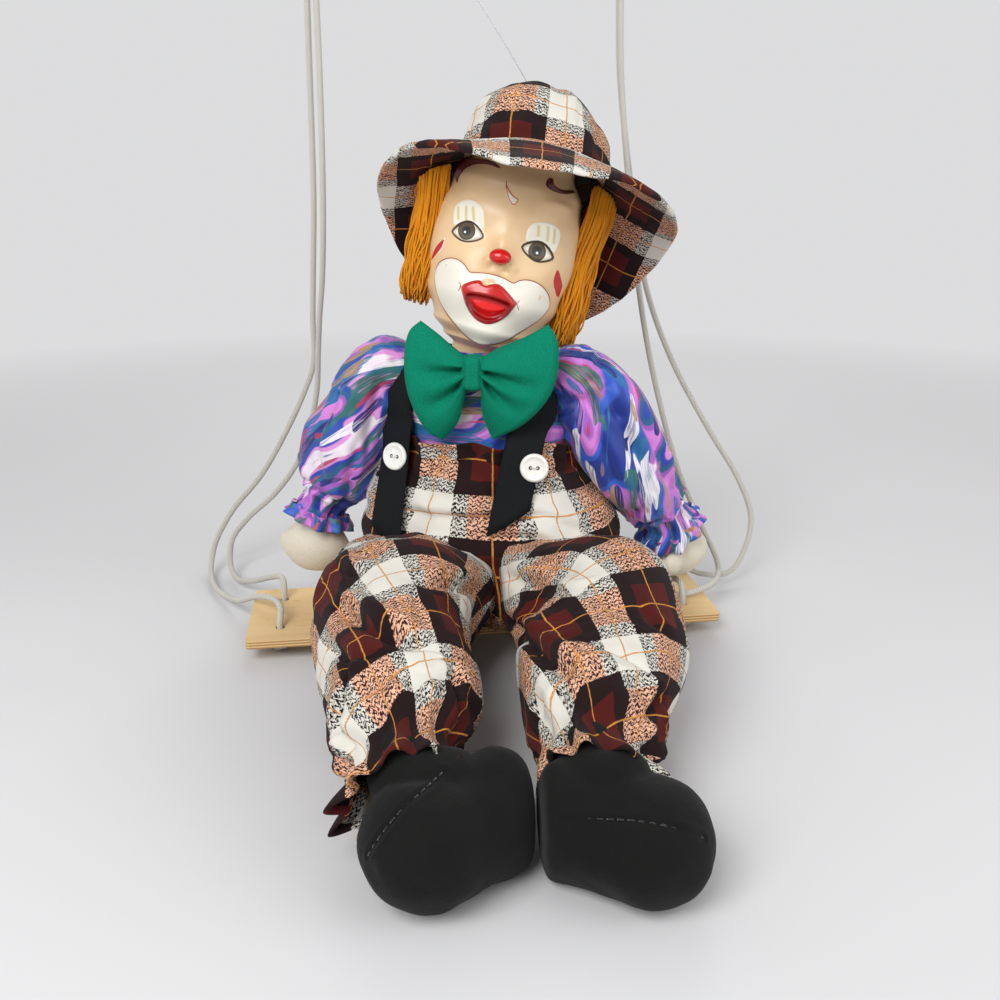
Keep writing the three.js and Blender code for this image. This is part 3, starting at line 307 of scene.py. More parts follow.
def dress(piece, body, *nodes, slot, fill=None):
    """Lets a piece ride on its body and stand for its CAD nodes. fill is not used.
    Where body is (body, body, start, end), the piece only has its place baked into its points and rides on no body."""
    if isinstance(body, str):
        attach(piece, body)
    else:
        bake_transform(piece)
    if nodes:
        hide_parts(*nodes)
    return piece


# ---- Materials
def srgb(*levels):
    """A linear colour for red, green and blue from 0 to 255."""
    shares = [level / 255 for level in levels]
    return tuple(v / 12.92 if v < 0.04045 else ((v + 0.055) / 1.055) ** 2.4 for v in shares) + (1,)


class Paint:
    """A node material with short calls for the nodes that it uses."""

    def __init__(self, name, roughness=0.8, **settings):
        self.material = bpy.data.materials.new(name)
        self.material.use_nodes = True
        self.tree = self.material.node_tree
        self.shader = self.tree.nodes["Principled BSDF"]
        self.set("Roughness", roughness)
        for key, value in settings.items():
            self.set(key.replace("_", " "), value)

    def join(self, value, target):
        if isinstance(value, bpy.types.NodeSocket):
            self.tree.links.new(value, target)
        else:
            target.default_value = value

    def set(self, socket, value):
        self.join(value, self.shader.inputs[socket])

    def node(self, kind, inputs=(), **settings):
        n = self.tree.nodes.new("ShaderNode" + kind)
        for key, value in settings.items():
            setattr(n, key, value)
        for key, value in dict(inputs).items():
            self.join(value, n.inputs[key])
        return n

    def math(self, operation, a, b=0.0, c=0.0, clamp=False):
        return self.node("Math", {0: a, 1: b, 2: c}, operation=operation, use_clamp=clamp).outputs[0]

    def times(self, a, b):
        return self.math("MULTIPLY", a, b)

    def plus(self, a, b):
        return self.math("ADD", a, b)

    def less(self, a, b):
        return self.math("SUBTRACT", a, b)

    def sum_of(self, a, factor, b):
        """a * factor + b"""
        return self.math("MULTIPLY_ADD", a, factor, b)

    def mix(self, share, a, b):
        """From colour a to b. Three numbers are red, green and blue from 0 to 255."""
        a, b = (srgb(*c) if isinstance(c, tuple) and len(c) == 3 else c for c in (a, b))
        return self.node("Mix", {0: share, 6: a, 7: b}, data_type="RGBA").outputs[2]

    def span(self, x, low, high, to_low=0.0, to_high=1.0):
        return self.node("MapRange", {0: x, 1: low, 2: high, 3: to_low, 4: to_high}).outputs[0]

    def value(self, name):
        return self.node("Attribute", attribute_name=name).outputs["Fac"]

    def place(self, scale=(1, 1, 1), turn=0.0, uv=True):
        """Cloth coordinates in mm, or the object's own in metres, scaled and turned."""
        if uv:
            source = self.node("UVMap", uv_map="cloth").outputs[0]
        else:
            source = self.node("TexCoord").outputs["Object"]
        return self.node("Mapping", {0: source, "Rotation": (0, 0, turn), "Scale": scale}).outputs[0]

    def noise(self, at, detail=2.0, roughness=0.5, distortion=0.0, turn=0.0, uv=True):
        """Noise over a vector, or over the cloth's own coordinates times a scale for each axis."""
        vector = at if isinstance(at, bpy.types.NodeSocket) else self.place(at, turn, uv)
        return self.node("TexNoise", {
            "Vector": vector, "Scale": 1.0, "Detail": detail, "Roughness": roughness, "Distortion": distortion,
        }).outputs[0]

    def waves(self, scale, distortion, turn=0.0, across="X", **inputs):
        inputs = {"Vector": self.place(turn=turn), "Scale": scale, "Distortion": distortion, **inputs}
        inputs = {key.replace("_", " "): value for key, value in inputs.items()}
        return self.node("TexWave", inputs, bands_direction=across).outputs[1]

    def bump(self, height, strength=0.4, distance=0.0005):
        n = self.node("Bump", {"Height": height, "Strength": strength, "Distance": distance})
        self.set("Normal", n.outputs[0])


# Cloth of two thread systems: plaid stripes both ways, each crossing flecked as its threads mix
PERIOD = 47.0
BLACK_START, WHITE_START, WHITE_END = 0.383, 0.511, 0.872  # shares of the period, which starts with maroon
GOLD_LINES, GOLD_HALF = (0.1915, 0.6915), 0.0065


def plaid_material():
    """Maroon, black and white bands both ways with thin gold lines; where white meets another band, it is flecked."""
    p = Paint("plaid_cloth", 0.9, Sheen_Weight=0.03, Specular_IOR_Level=0.15)
    wander = p.noise((0.08, 0.08, 1))
    xyz = p.node("SeparateXYZ", {0: p.place()})
    stripes = []
    for axis in (0, 1):
        along = p.plus(xyz.outputs[axis], p.times(wander, 1.2))
        share = p.math("FRACT", p.math("DIVIDE", along, PERIOD))
        after, before = (lambda x: p.math("GREATER_THAN", share, x)), (lambda x: p.math("LESS_THAN", share, x))
        black = p.plus(p.times(after(BLACK_START), before(WHITE_START)), after(WHITE_END))
        white = p.times(after(WHITE_START), before(WHITE_END))
        line = p.plus(*(p.math("LESS_THAN", p.math("ABSOLUTE", p.less(share, at)), GOLD_HALF) for at in GOLD_LINES))
        stripes.append((black, white, line))
    (k1, w1, l1), (k2, w2, l2) = stripes
    both = p.times(w1, w2)
    one = p.less(p.plus(w1, w2), p.times(both, 2.0))
    black = p.math("MAXIMUM", k1, k2)

    # Flecks: rows of small zigzags, broken up by two sizes of noise
    mottle = p.noise((1.6, 1.1, 1), 1.0, 0.6, 0.8, turn=0.7)
    drift = p.noise((0.35, 0.5, 1), 2.0, 0.6, 0.6, turn=0.4)
    zigzag = p.math("ABSOLUTE", p.less(p.math("FRACT", p.math("DIVIDE", xyz.outputs[0], 2.6)), 0.5))
    rows = p.sum_of(zigzag, 1.2, p.sum_of(mottle, 1.5, p.math("DIVIDE", xyz.outputs[1], 1.7)))
    tooth = p.math("ABSOLUTE", p.less(p.math("FRACT", p.sum_of(drift, 1.6, rows)), 0.5))
    fleck = p.span(p.sum_of(tooth, 0.65, p.sum_of(mottle, 0.62, p.times(drift, 0.22))), 0.56, 0.62)

    shade = p.noise((0.06, 0.06, 1))
    dark = p.mix(black, p.mix(shade, (56, 18, 17), (96, 30, 25)), (34, 19, 20))
    peach = p.mix(p.noise((0.25, 0.25, 1)), (224, 168, 142), (246, 200, 168))
    mixed = p.mix(fleck, p.mix(black, peach, (216, 212, 202)), p.mix(black, (60, 26, 24), (24, 23, 25)))
    colour = p.mix(one, dark, mixed)
    colour = p.mix(both, colour, p.mix(shade, (214, 210, 200), (232, 229, 220)))
    dash = p.span(p.noise((1.3, 1.3, 1), 1.0), 0.3, 0.5)
    gold = p.math("MULTIPLY", p.math("MAXIMUM", l1, l2), p.sum_of(dash, 0.45, 0.5), clamp=True)
    p.set("Base Color", p.mix(gold, colour, (205, 140, 62)))
    weave = p.waves(1.5, 1.0, 0.785)
    p.bump(p.sum_of(weave, 0.4, p.times(mottle, 0.8)), 0.5, 0.00035)
    return p.material


def print_material():
    """Broad patches crossed by feathery strokes, on a thin satin cloth."""
    p = Paint("print_cloth", 0.5, Sheen_Weight=0.15, Specular_IOR_Level=0.4)
    bend = p.node("TexNoise", {"Vector": p.place((1 / 34, 1 / 34, 1)), "Scale": 1.0, "Detail": 1.0}).outputs[1]

    def swept(scale, turn, bow):
        """Cloth coordinates, scaled, turned and bent sideways by the slow noise."""
        place = p.place(scale, turn)
        shift = p.node("VectorMath", {0: bend, "Scale": bow}, operation="SCALE").outputs[0]
        return p.node("VectorMath", {0: place, 1: shift}, operation="ADD").outputs[0]

    ground = p.noise(swept((1 / 44, 1 / 19, 1), 0.3, 0.5), 1.0, 0.5, 0.2)
    ramp = p.node("ValToRGB", {0: p.span(ground, 0.32, 0.68)})
    tones = [(0.0, (26, 52, 140)), (0.2, (44, 88, 190)), (0.33, (182, 108, 196)), (0.47, (208, 126, 208)),
             (0.58, (150, 88, 182)), (0.66, (28, 94, 134)), (0.76, (36, 66, 166)), (0.86, (212, 140, 206)),
             (0.94, (230, 220, 230))]
    elements = ramp.color_ramp.elements
    stops = [(place + step, colour) for (place, colour), (far, _) in zip(tones, tones[1:] + [(1.0, None)])
             for step in (0.0, 0.7 * (far - place))]
    while len(elements) < len(stops):
        elements.new(0.5)
    for element, (place, colour) in zip(elements, stops):
        element.position = place
        element.color = srgb(*colour)
    colour = ramp.outputs[0]
    for length, width, turn, level, tint, amount in (
        (40, 8, 0.5, 0.585, (36, 104, 160), 0.95), (34, 7, 0.15, 0.61, (228, 224, 228), 0.95),
        (34, 7, 0.8, 0.63, (166, 134, 80), 0.9), (36, 8, 2.7, 0.61, (24, 40, 116), 0.95),
        (28, 5, 1.2, 0.655, (180, 50, 84), 0.85), (34, 7, 3.0, 0.64, (36, 104, 96), 0.9),
    ):
        stroke = p.span(p.noise(swept((1 / length, 1 / width, 1), turn, 0.8), 1.0, 0.45, 0.3), level, level + 0.01)
        barbs = p.span(p.noise(swept((1 / 9, 1.6, 1), turn + 0.5, 0.6), 1.0), 0.36, 0.5)
        colour = p.mix(p.times(stroke, p.sum_of(barbs, 0.6, amount - 0.55)), colour, tint)
    p.set("Base Color", colour)
    p.bump(p.noise((3.2, 3.2, 1), 2.0), 0.25, 0.0002)
    return p.material


def knit_material():
    p = Paint("green_knit", 0.95, Specular_IOR_Level=0.1)
    ribs = p.waves(0.42, 2.2, across="Y", Detail=2.0, Detail_Scale=2.0)
    fuzz = p.noise((1.4, 0.9, 1), 3.0, 0.7)
    tone = p.sum_of(ribs, 0.2, p.times(fuzz, 0.8))
    p.set("Base Color", p.mix(tone, (0, 96, 76), (20, 150, 116)))
    p.bump(p.plus(p.times(ribs, 0.5), fuzz), 0.6, 0.0006)
    return p.material


def black_cloth_material():
    p = Paint("black_cloth", 0.95, Sheen_Weight=0.05, Specular_IOR_Level=0.12)
    fine = p.noise((1500, 1500, 1500), 3.0, 0.6, uv=False)
    threads = p.noise((320, 2600, 2600), 2.0, uv=False)
    wide = p.noise((60, 60, 60), 4.0, uv=False)
    tone = p.sum_of(wide, 0.45, p.sum_of(fine, 0.35, p.times(threads, 0.3)))
    p.set("Base Color", p.mix(tone, (9, 9, 10), (27, 27, 26)))
    p.bump(p.sum_of(wide, 0.8, p.sum_of(fine, 0.5, p.times(threads, 0.4))), 0.5, 0.0006)
    return p.material


def strap_material():
    p = Paint("black_braid", 0.85, Specular_IOR_Level=0.15)
    rows = p.waves(0.33, 0.3)
    fine = p.noise((2.5, 1.2, 1), 2.0)
    tone = p.sum_of(rows, 0.4, p.times(fine, 0.6))
    p.set("Base Color", p.mix(tone, (9, 10, 11), (27, 29, 32)))
    p.bump(tone, 0.5, 0.0004)
    return p.material


def felt_material(name, low, high, scale=900):
    p = Paint(name, 0.92, Sheen_Weight=0.4, Specular_IOR_Level=0.25)
    nap = p.noise((scale, scale, scale), 4.0, 0.7, uv=False)
    wide = p.noise((60, 60, 60), 2.0, uv=False)
    p.set("Base Color", p.mix(p.sum_of(nap, 0.6, p.times(wide, 0.4)), low, high))
    p.bump(p.plus(nap, p.times(wide, 0.7)), 0.4, 0.0006)
    return p.material


def plywood_material():
    """Birch face grain along X, with the layers showing on the cut edges."""
    p = Paint("plywood", 0.6, Specular_IOR_Level=0.35)
    grain = p.noise((16, 190, 300), 4.0, 0.6, 0.4, uv=False)
    wide = p.noise((7, 26, 60), 3.0, uv=False)
    face = p.mix(p.sum_of(grain, 0.55, p.times(wide, 0.45)), (203, 164, 106), (236, 208, 158))
    low = _lo.z
    height = p.node("SeparateXYZ", {0: p.place(uv=False)}).outputs[2]
    layer = p.math("FRACT", p.times(p.less(height, low), 750.0))
    edge = p.mix(p.span(layer, 0.42, 0.58), (176, 132, 82), (226, 194, 140))
    up = p.math("ABSOLUTE", p.node("SeparateXYZ", {0: p.node("NewGeometry").outputs["Normal"]}).outputs[2])
    fleck = p.span(p.noise((90, 700, 500), 2.0, uv=False), 0.66, 0.72)
    colour = p.mix(p.span(up, 0.4, 0.6), edge, p.mix(p.times(fleck, 0.35), face, (150, 104, 62)))
    p.set("Base Color", colour)
    p.bump(grain, 0.2, 0.0004)
    return p.material


def cord_material():
    p = Paint("white_cord", 0.8, Sheen_Weight=0.3, Specular_IOR_Level=0.3)
    braid = p.math("MAXIMUM", p.waves(0.36, 0.2, 0.72), p.waves(0.36, 0.2, -0.72))
    # Painted shade: the cord is greyer where the braid is low, in the grooves between its strands
    p.set("Base Color", p.mix(braid, (150, 147, 138), (226, 223, 213)))
    p.bump(braid, 0.8, 0.0005)
    return p.material


def yarn_material():
    p = Paint("orange_yarn", 0.85, Sheen_Weight=0.1, Specular_IOR_Level=0.2)
    ply = p.waves(0.8, 0.6, 0.9)
    along = p.noise((0.3, 0.05, 1), 2.0)
    tone = p.sum_of(ply, 0.45, p.times(along, 0.6))
    # Painted shade: strands with a higher depth, in the inner layers, are darker orange, as shade among the outer
    # strands
    p.set("Base Color", p.mix(p.value("depth"), p.mix(tone, (246, 128, 0), (255, 190, 24)), (196, 92, 2)))
    p.bump(ply, 0.7, 0.0004)
    return p.material


def button_material():
    p = Paint("button_plastic", 0.28, Specular_IOR_Level=0.5, Coat_Weight=0.2)
    pearl = p.noise((160, 160, 160), 3.0, 0.5, 1.0, uv=False)
    p.set("Base Color", p.mix(pearl, (220, 220, 212), (242, 242, 236)))
    p.bump(pearl, 0.05, 0.0002)
    return p.material


def line_material():
    p = Paint("clear_line", 0.2, Specular_IOR_Level=0.6, Coat_Weight=0.3)
    p.set("Base Color", p.mix(p.noise((400, 400, 400), uv=False), (196, 200, 206), (228, 230, 234)))
    return p.material


PLAID, PRINT, KNIT, BLACK = plaid_material(), print_material(), knit_material(), black_cloth_material()
STRAP, MITT = strap_material(), felt_material("mitt_cloth", (196, 186, 164), (232, 226, 210))
CALICO = felt_material("body_cloth", (196, 184, 158), (226, 216, 194), 700)
PLY, CORD = plywood_material(), cord_material()
YARN, BUTTON, LINE = yarn_material(), button_material(), line_material()
THREAD = felt_material("thread", (206, 202, 192), (236, 232, 222), 2500)
DARK_THREAD = felt_material("dark_thread", (30, 30, 30), (48, 47, 46), 2500)


def cord_piece(name, path, diameter, material, sides=12):
    """A round tube along a path, with the distance round and along it as its cloth coordinates."""
    path = np.asarray(path, float)
    _, side, rise = frames_along(path, unit(A(0.31, 0.9, 0.2)))
    r = diameter / 2
    rings = oval(path[:, None], side[:, None], rise[:, None], r, r, all_round(sides))
    return capped(name, rings, material, np.pi * diameter, length_of(path))


# ---- Cords of the swing
CORD_MM = 3.0
KNOT_FOOT = 298.6  # height of the hanging knots' lower side
CORD_END, CORD_FOOT = KNOT_FOOT - 0.3, 7.3
HOLE_X, HOLE_Y = 98, 16.5  # the plank's holes
# Each cord from its hanging knot down to its hole, along the route seen in the photograph
ROUTES = {
    "cord_right_front": [
        (-73.2, 88, CORD_END), (-74, 89, 260), (-75.5, 90, 201), (-78, 92, 163), (-79.5, 94, 140),
        (-80.5, 95, 116), (-86, 96, 101), (-97, 97, 79), (-113, 98, 53), (-131, 98, 32), (-141, 95, 15),
        (-143, 84, 4.5), (-138, 59, 2.6), (-129, 40, 3.8), (-121, 23, 9), (-110, 9, 16.5),
        (-101, -3, 19.5), (-97.6, -12, 18.5), (-98, -16.5, 13), (-HOLE_X, -HOLE_Y, CORD_FOOT)],
    "cord_right_rear": [
        (-68.8, 84, CORD_END), (-69, 83, 260), (-70.5, 82, 201), (-73, 83, 163), (-75.5, 85, 143),
        (-77.5, 86, 122), (-79, 87, 104), (-83, 89, 86), (-92, 91, 62), (-106, 93, 43),
        (-122, 93, 29), (-131, 90, 18), (-132, 82, 7), (-127, 66, 3.6), (-117, 52, 7.5), (-106, 40, 14),
        (-100, 28, 18.5), (-98, 19.5, 18), (-98, 16.5, 12.5), (-HOLE_X, HOLE_Y, CORD_FOOT)],
    "cord_left_front": [
        (78.6, 72.4, CORD_END), (80, 71, 260), (86, 69, 205), (93.5, 67, 151), (101.5, 61, 109),
        (113, 49, 63), (121, 30, 37), (128.5, 20, 18), (122, 3, 14.4), (107, -9.5, 14.2),
        (94, -12, 14.2), (88.5, -6, 14), (88.6, 2.5, 14), (93, 5.5, 15), (97.4, 0, 18),
        (98.6, -10, 19.5), (98, -16.5, 14), (HOLE_X, -HOLE_Y, CORD_FOOT)],
    "cord_left_rear": [
        (79, 77.4, CORD_END), (81, 77, 260), (89, 75.5, 205), (98, 73, 157), (113, 69, 118),
        (134, 62, 80), (151, 55, 52), (157, 48, 33), (151, 37, 19), (139, 28, 8), (122, 25, 9),
        (108, 24, 16), (100.5, 20.5, 17.6), (98, 16.5, 13), (HOLE_X, HOLE_Y, CORD_FOOT)],
}


def knot_piece(name, centre, radius, height, seed):
    """A tied lump: one strand wound round itself three times over a small core."""
    t = np.linspace(0, 2 * np.pi, 140)
    turn = 3 * t
    strand = CORD_MM * 0.46
    r = (radius - strand) * (0.62 + 0.38 * np.cos(2 * t + seed))
    path = np.column_stack([r * np.cos(turn), r * np.sin(turn), (height - strand) * np.sin(2 * t + seed)]) + centre
    return cord_piece(name, path, strand * 2, CORD, 10)


for _side, _x in (("right", -HOLE_X), ("left", HOLE_X)):
    for _end, _y in (("front", -HOLE_Y), ("rear", HOLE_Y)):
        _name = f"stopper_knot_{_side}_{_end}"
        _knot = knot_piece(_name + "_tied", A(_x, _y, 3.35), 4.6, 3.3, _x + _y)
        dress(_knot, TRUNK, _name, slot="white_cord")

for _side, _centre in (("right", A(-71, 86, 304)), ("left", A(77, 74.5, 304))):
    _knot = knot_piece(f"hanging_knot_{_side}", _centre, 5.2, 5.0, 0.6)
    dress(_knot, TRUNK, slot="white_cord")
    _t = np.linspace(0, 2 * np.pi, 60)
    _ring = np.column_stack([8 * np.sin(_t), 0 * _t, 12.4 - 8 * np.cos(_t)]) + _centre
    _loop = cord_piece(f"hanging_loop_{_side}_cord", _ring, CORD_MM, CORD)
    dress(_loop, TRUNK, f"hanging_loop_{_side}", slot="white_cord")
    for _end in ("front", "rear"):
        _name = f"cord_{_side}_{_end}"
        _route = spline(ROUTES[_name], 260)[::-1]
        _cord = cord_piece(_name + "_braided", _route, CORD_MM, CORD)
        dress(_cord, TRUNK, _name, slot="white_cord")

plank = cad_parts["swing_plank"]
plank.data.materials.clear()
plank.data.materials.append(PLY)

# ---- Head: a porcelain shell, on which the painted face is laid through the photograph's view
NECK = A(-3, 0, 129)
TURN = np.array([[0.96127, 0.11791, 0.24911], [-0.13510, 0.98941, 0.05300], [-0.24023, -0.08460, 0.96702]])


def from_head(p):
    """Places of the head's frame in the modelling frame."""
    return np.asarray(p, float) @ TURN.T + NECK


# The head's frame has its origin in the neck's opening, y toward the back of the head and z up.
HEAD_TALL = 103
# Rows of height, half width, and how far the head reaches to its front and to its back
SKULL = keyed([
    (0, 13.9, 13.9, 13.9), (4, 12.5, 12.5, 12.5), (9.5, 12.5, 13.5, 12.5), (13.5, 18, 23, 14.5),
    (19.5, 24, 26.5, 20), (34, 30.5, 29.5, 27), (52, 33.5, 30, 31), (66, 33, 29, 31), (80, 30, 27, 28.5),
    (92, 23.5, 21, 24), (HEAD_TALL, 12, 11, 13),
])
# Swellings of the face, as x, z, half width, half height and rise: two cheeks, muzzle, chin, two eye hollows, the
# nose's bridge and the dip at the mouth
SWELLS = [(-19, 38, 9, 9, 2.2), (19, 38, 9, 9, 2.2), (0, 30, 14, 10, 2.6), (0, 16, 10, 5, 1.5),
          (-16, 57, 9, 6, -2.4), (16, 57, 9, 6, -2.4), (0, 53, 5, 9, 2.2), (0, 27, 8, 3.5, -1.6)]


def bare_head(heights, angles):
    """The head's form before nose, lips, ears and curl, as a grid of rows by angles."""
    wide, front, back = (v[:, None] for v in np.array([SKULL(z) for z in heights]).T)
    x = wide * np.cos(angles)[None]
    ahead = np.sin(angles)[None]
    z = np.repeat(np.asarray(heights, float)[:, None], len(angles), 1)
    rise = sum(amount * np.exp(-((x - cx) / w) ** 2 - ((z - cz) / t) ** 2) for cx, cz, w, t, amount in SWELLS)
    y = -ahead * np.where(ahead > 0, front, back) - rise * np.clip(ahead, 0, 1)
    return np.stack([x, y, z], -1)


def normals_of(grid):
    """Directions outward of a grid whose rows close on themselves."""
    n = np.cross(np.gradient(grid, axis=0), np.roll(grid, -1, 1) - np.roll(grid, 1, 1))
    return n / np.maximum(np.linalg.norm(n, axis=2, keepdims=True), 1e-9)


def seen_on(tree, chart, pixels):
    """Where the sight lines through places of the frame meet a charted surface, as chart places."""
    out = []
    for px, py in pixels:
        hit = tree[0].ray_cast(Vector(metres(EYE)), Vector(sight(px, py)))
        if hit[0] is None:
            continue
        corners = tree[1][hit[2]]
        a, b, c = (tree[2][k] for k in corners)
        v0, v1, v2 = b - a, c - a, np.array(hit[0]) - a
        d00, d01, d11, d20, d21 = v0 @ v0, v0 @ v1, v1 @ v1, v2 @ v0, v2 @ v1
        base = d00 * d11 - d01 * d01
        s, t = (d11 * d20 - d01 * d21) / base, (d00 * d21 - d01 * d20) / base
        out.append(chart[corners[0]] * (1 - s - t) + chart[corners[1]] * s + chart[corners[2]] * t)
    return np.array(out)


def inside_by(places, outline):
    """Signed distance of places to a closed outline, positive inside."""
    a, b = outline, np.roll(outline, -1, 0)
    near = np.full(len(places), 1e9)
    inside = np.zeros(len(places), bool)
    x, y = places.T
    for p, q in zip(a, b):
        edge = q - p
        t = np.clip(((x - p[0]) * edge[0] + (y - p[1]) * edge[1]) / max(edge @ edge, 1e-12), 0, 1)
        near = np.minimum(near, np.hypot(x - p[0] - t * edge[0], y - p[1] - t * edge[1]))
        if q[1] != p[1]:
            crosses = ((p[1] > y) != (q[1] > y)) & (x < (q[0] - p[0]) * (y - p[1]) / (q[1] - p[1]) + p[0])
            inside ^= crosses
    return np.where(inside, near, -near)


def rounded(times, *points):
    """A closed outline with its corners cut a number of times."""
    p = np.array(points, float)
    for _ in range(times):
        q = np.roll(p, -1, 0)
        p = np.stack([0.75 * p + 0.25 * q, 0.25 * p + 0.75 * q], 1).reshape(-1, 2)
    return p


def in_frame(crop):
    """Places measured on a six times enlarged view of the face, in the frame's own pixels."""
    return np.asarray(crop, float) / 6 + A(415, 150)


def circle(x, y, rx, ry=None, turn=0.0):
    """An outline of a circle or, with a second radius, of an ellipse."""
    t = np.linspace(0, 2 * np.pi, 40, endpoint=False)
    c, s, ry = math.cos(turn), math.sin(turn), ry or rx
    return np.column_stack([x + rx * np.cos(t) * c - ry * np.sin(t) * s, y + rx * np.cos(t) * s + ry * np.sin(t) * c])


# Outlines of the painted parts of the face, in places of the enlarged view that in_frame reads
FACE = {
    "lips": [
        rounded(2, (275, 815), (330, 790), (375, 780), (400, 785), (430, 812), (490, 800), (520, 815), (570, 870),
                (612, 925), (590, 945), (560, 985), (510, 1025), (450, 1048), (400, 1040), (350, 1005), (310, 940),
                (290, 870)),
    ],
    "mouth": [
        rounded(2, (312, 858), (360, 862), (440, 878), (520, 902), (572, 925), (556, 968), (508, 1003), (455, 1022),
                (405, 1014), (352, 975), (322, 915)),
    ],
    "tongue": [
        rounded(2, (328, 884), (380, 890), (450, 904), (520, 928), (553, 944), (538, 968), (498, 993), (452, 1008),
                (408, 1000), (362, 962), (335, 915)),
    ],
    "muzzle": [
        rounded(2, (128, 700), (150, 670), (200, 648), (250, 655), (292, 685), (318, 728), (330, 738), (400, 740),
                (470, 750), (540, 775), (585, 803), (600, 801), (640, 782), (700, 785), (760, 815), (805, 870),
                (812, 930), (780, 985), (720, 1040), (640, 1090), (560, 1140), (480, 1168), (400, 1170), (340, 1145),
                (280, 1095), (230, 1035), (180, 970), (140, 890), (118, 800), (118, 740)),
    ],
    "patch": [
        rounded(2, (232, 460), (230, 390), (240, 330), (290, 300), (340, 295), (390, 325), (412, 370), (418, 500),
                (370, 450), (320, 425), (270, 435)),
        rounded(2, (660, 550), (672, 480), (705, 440), (770, 430), (830, 445), (872, 482), (872, 535), (852, 595),
                (832, 625), (800, 578), (750, 545), (700, 545)),
    ],
    "eye": [
        rounded(1, (222, 485), (260, 445), (310, 425), (350, 432), (385, 465), (418, 520), (390, 540), (340, 553),
                (290, 550), (250, 525), (228, 500)),
        rounded(1, (638, 572), (690, 548), (750, 545), (795, 575), (832, 640), (820, 662), (760, 675), (715, 668),
                (675, 635), (645, 600)),
    ],
    "white": [
        rounded(1, (230, 486), (264, 455), (310, 437), (350, 443), (380, 470), (410, 519), (386, 534), (340, 547),
                (290, 544), (255, 521), (234, 500)),
        rounded(1, (648, 578), (692, 560), (750, 557), (790, 584), (822, 640), (813, 655), (760, 668), (716, 661),
                (681, 631), (653, 600)),
    ],
    "iris": [
        circle(310, 484, 53, 56),
        circle(733, 610, 53, 58),
    ],
    "pupil": [
        circle(309, 485, 28),
        circle(731, 607, 29),
    ],
    "spark": [
        circle(300, 492, 7),
        circle(733, 618, 8),
    ],
    "drop": [
        rounded(1, (178, 528), (140, 560), (115, 600), (98, 650), (96, 665), (120, 635), (150, 600), (165, 570)),
        rounded(1, (858, 708), (882, 790), (886, 820), (855, 903), (828, 800), (838, 750)),
    ],
    "drop_white": [
        rounded(1, (182, 520), (172, 532), (150, 590), (126, 640), (92, 672), (90, 700), (100, 668), (124, 640),
                (155, 602), (172, 565)),
    ],
    "curl": [
        rounded(1, (556, 165), (540, 205), (560, 290), (590, 342), (627, 296), (595, 283), (568, 245), (548, 205)),
    ],
    "curl_tip": [
        rounded(1, (556, 250), (566, 288), (590, 330), (622, 296), (595, 290), (570, 262)),
    ],
    "hairline": [
        rounded(1, (780, 205), (800, 232), (840, 255), (890, 268), (950, 262), (1010, 240), (1010, 215), (960, 238),
                (900, 244), (860, 232), (830, 205), (835, 170), (800, 165)),
        rounded(1, (252, 208), (262, 165), (300, 112), (360, 84), (440, 84), (520, 118), (500, 84), (420, 50),
                (280, 55), (235, 130)),
    ],
    "chip": [
        rounded(1, (398, 775), (404, 800), (418, 818), (440, 816), (455, 796), (476, 804), (490, 798), (470, 770)),
        rounded(0, (188, 688), (196, 686), (198, 694), (190, 696)),
        rounded(0, (736, 872), (748, 868), (752, 884), (740, 900), (734, 894), (744, 884)),
    ],
    "nose": [
        circle(512, 641, 60, 47, 0.12),
    ],
}
# Open lines: the gold strokes at the brows, and the painted corners of the mouth
STROKES = [[(262, 345), (262, 412)], [(309, 345), (310, 418)], [(349, 345), (356, 420)],
           [(741, 455), (738, 512)], [(797, 465), (793, 540)], [(836, 478), (830, 556)]]
CORNERS = [[(263, 842), (278, 822), (272, 800), (262, 798)], [(600, 905), (612, 930), (622, 962)],
           [(600, 930), (625, 908)], [(275, 815), (264, 845)]]


def face_fields(chart, laid):
    """Signed distances on the chart to each painted part, and plain distances to the open lines."""
    fields = {name: np.max([inside_by(chart, laid(outline)) for outline in outlines], axis=0)
              for name, outlines in FACE.items()}
    for name, lines in (("stroke", STROKES), ("corner", CORNERS)):
        near = np.full(len(chart), 99.0)
        for line in lines:
            spots = laid(line)
            for p, q in zip(spots, spots[1:]):
                edge = q - p
                t = np.clip(((chart - p) @ edge) / (edge @ edge), 0, 1)
                near = np.minimum(near, np.linalg.norm(chart - p - t[:, None] * edge, axis=1))
        fields[name] = near
    return fields


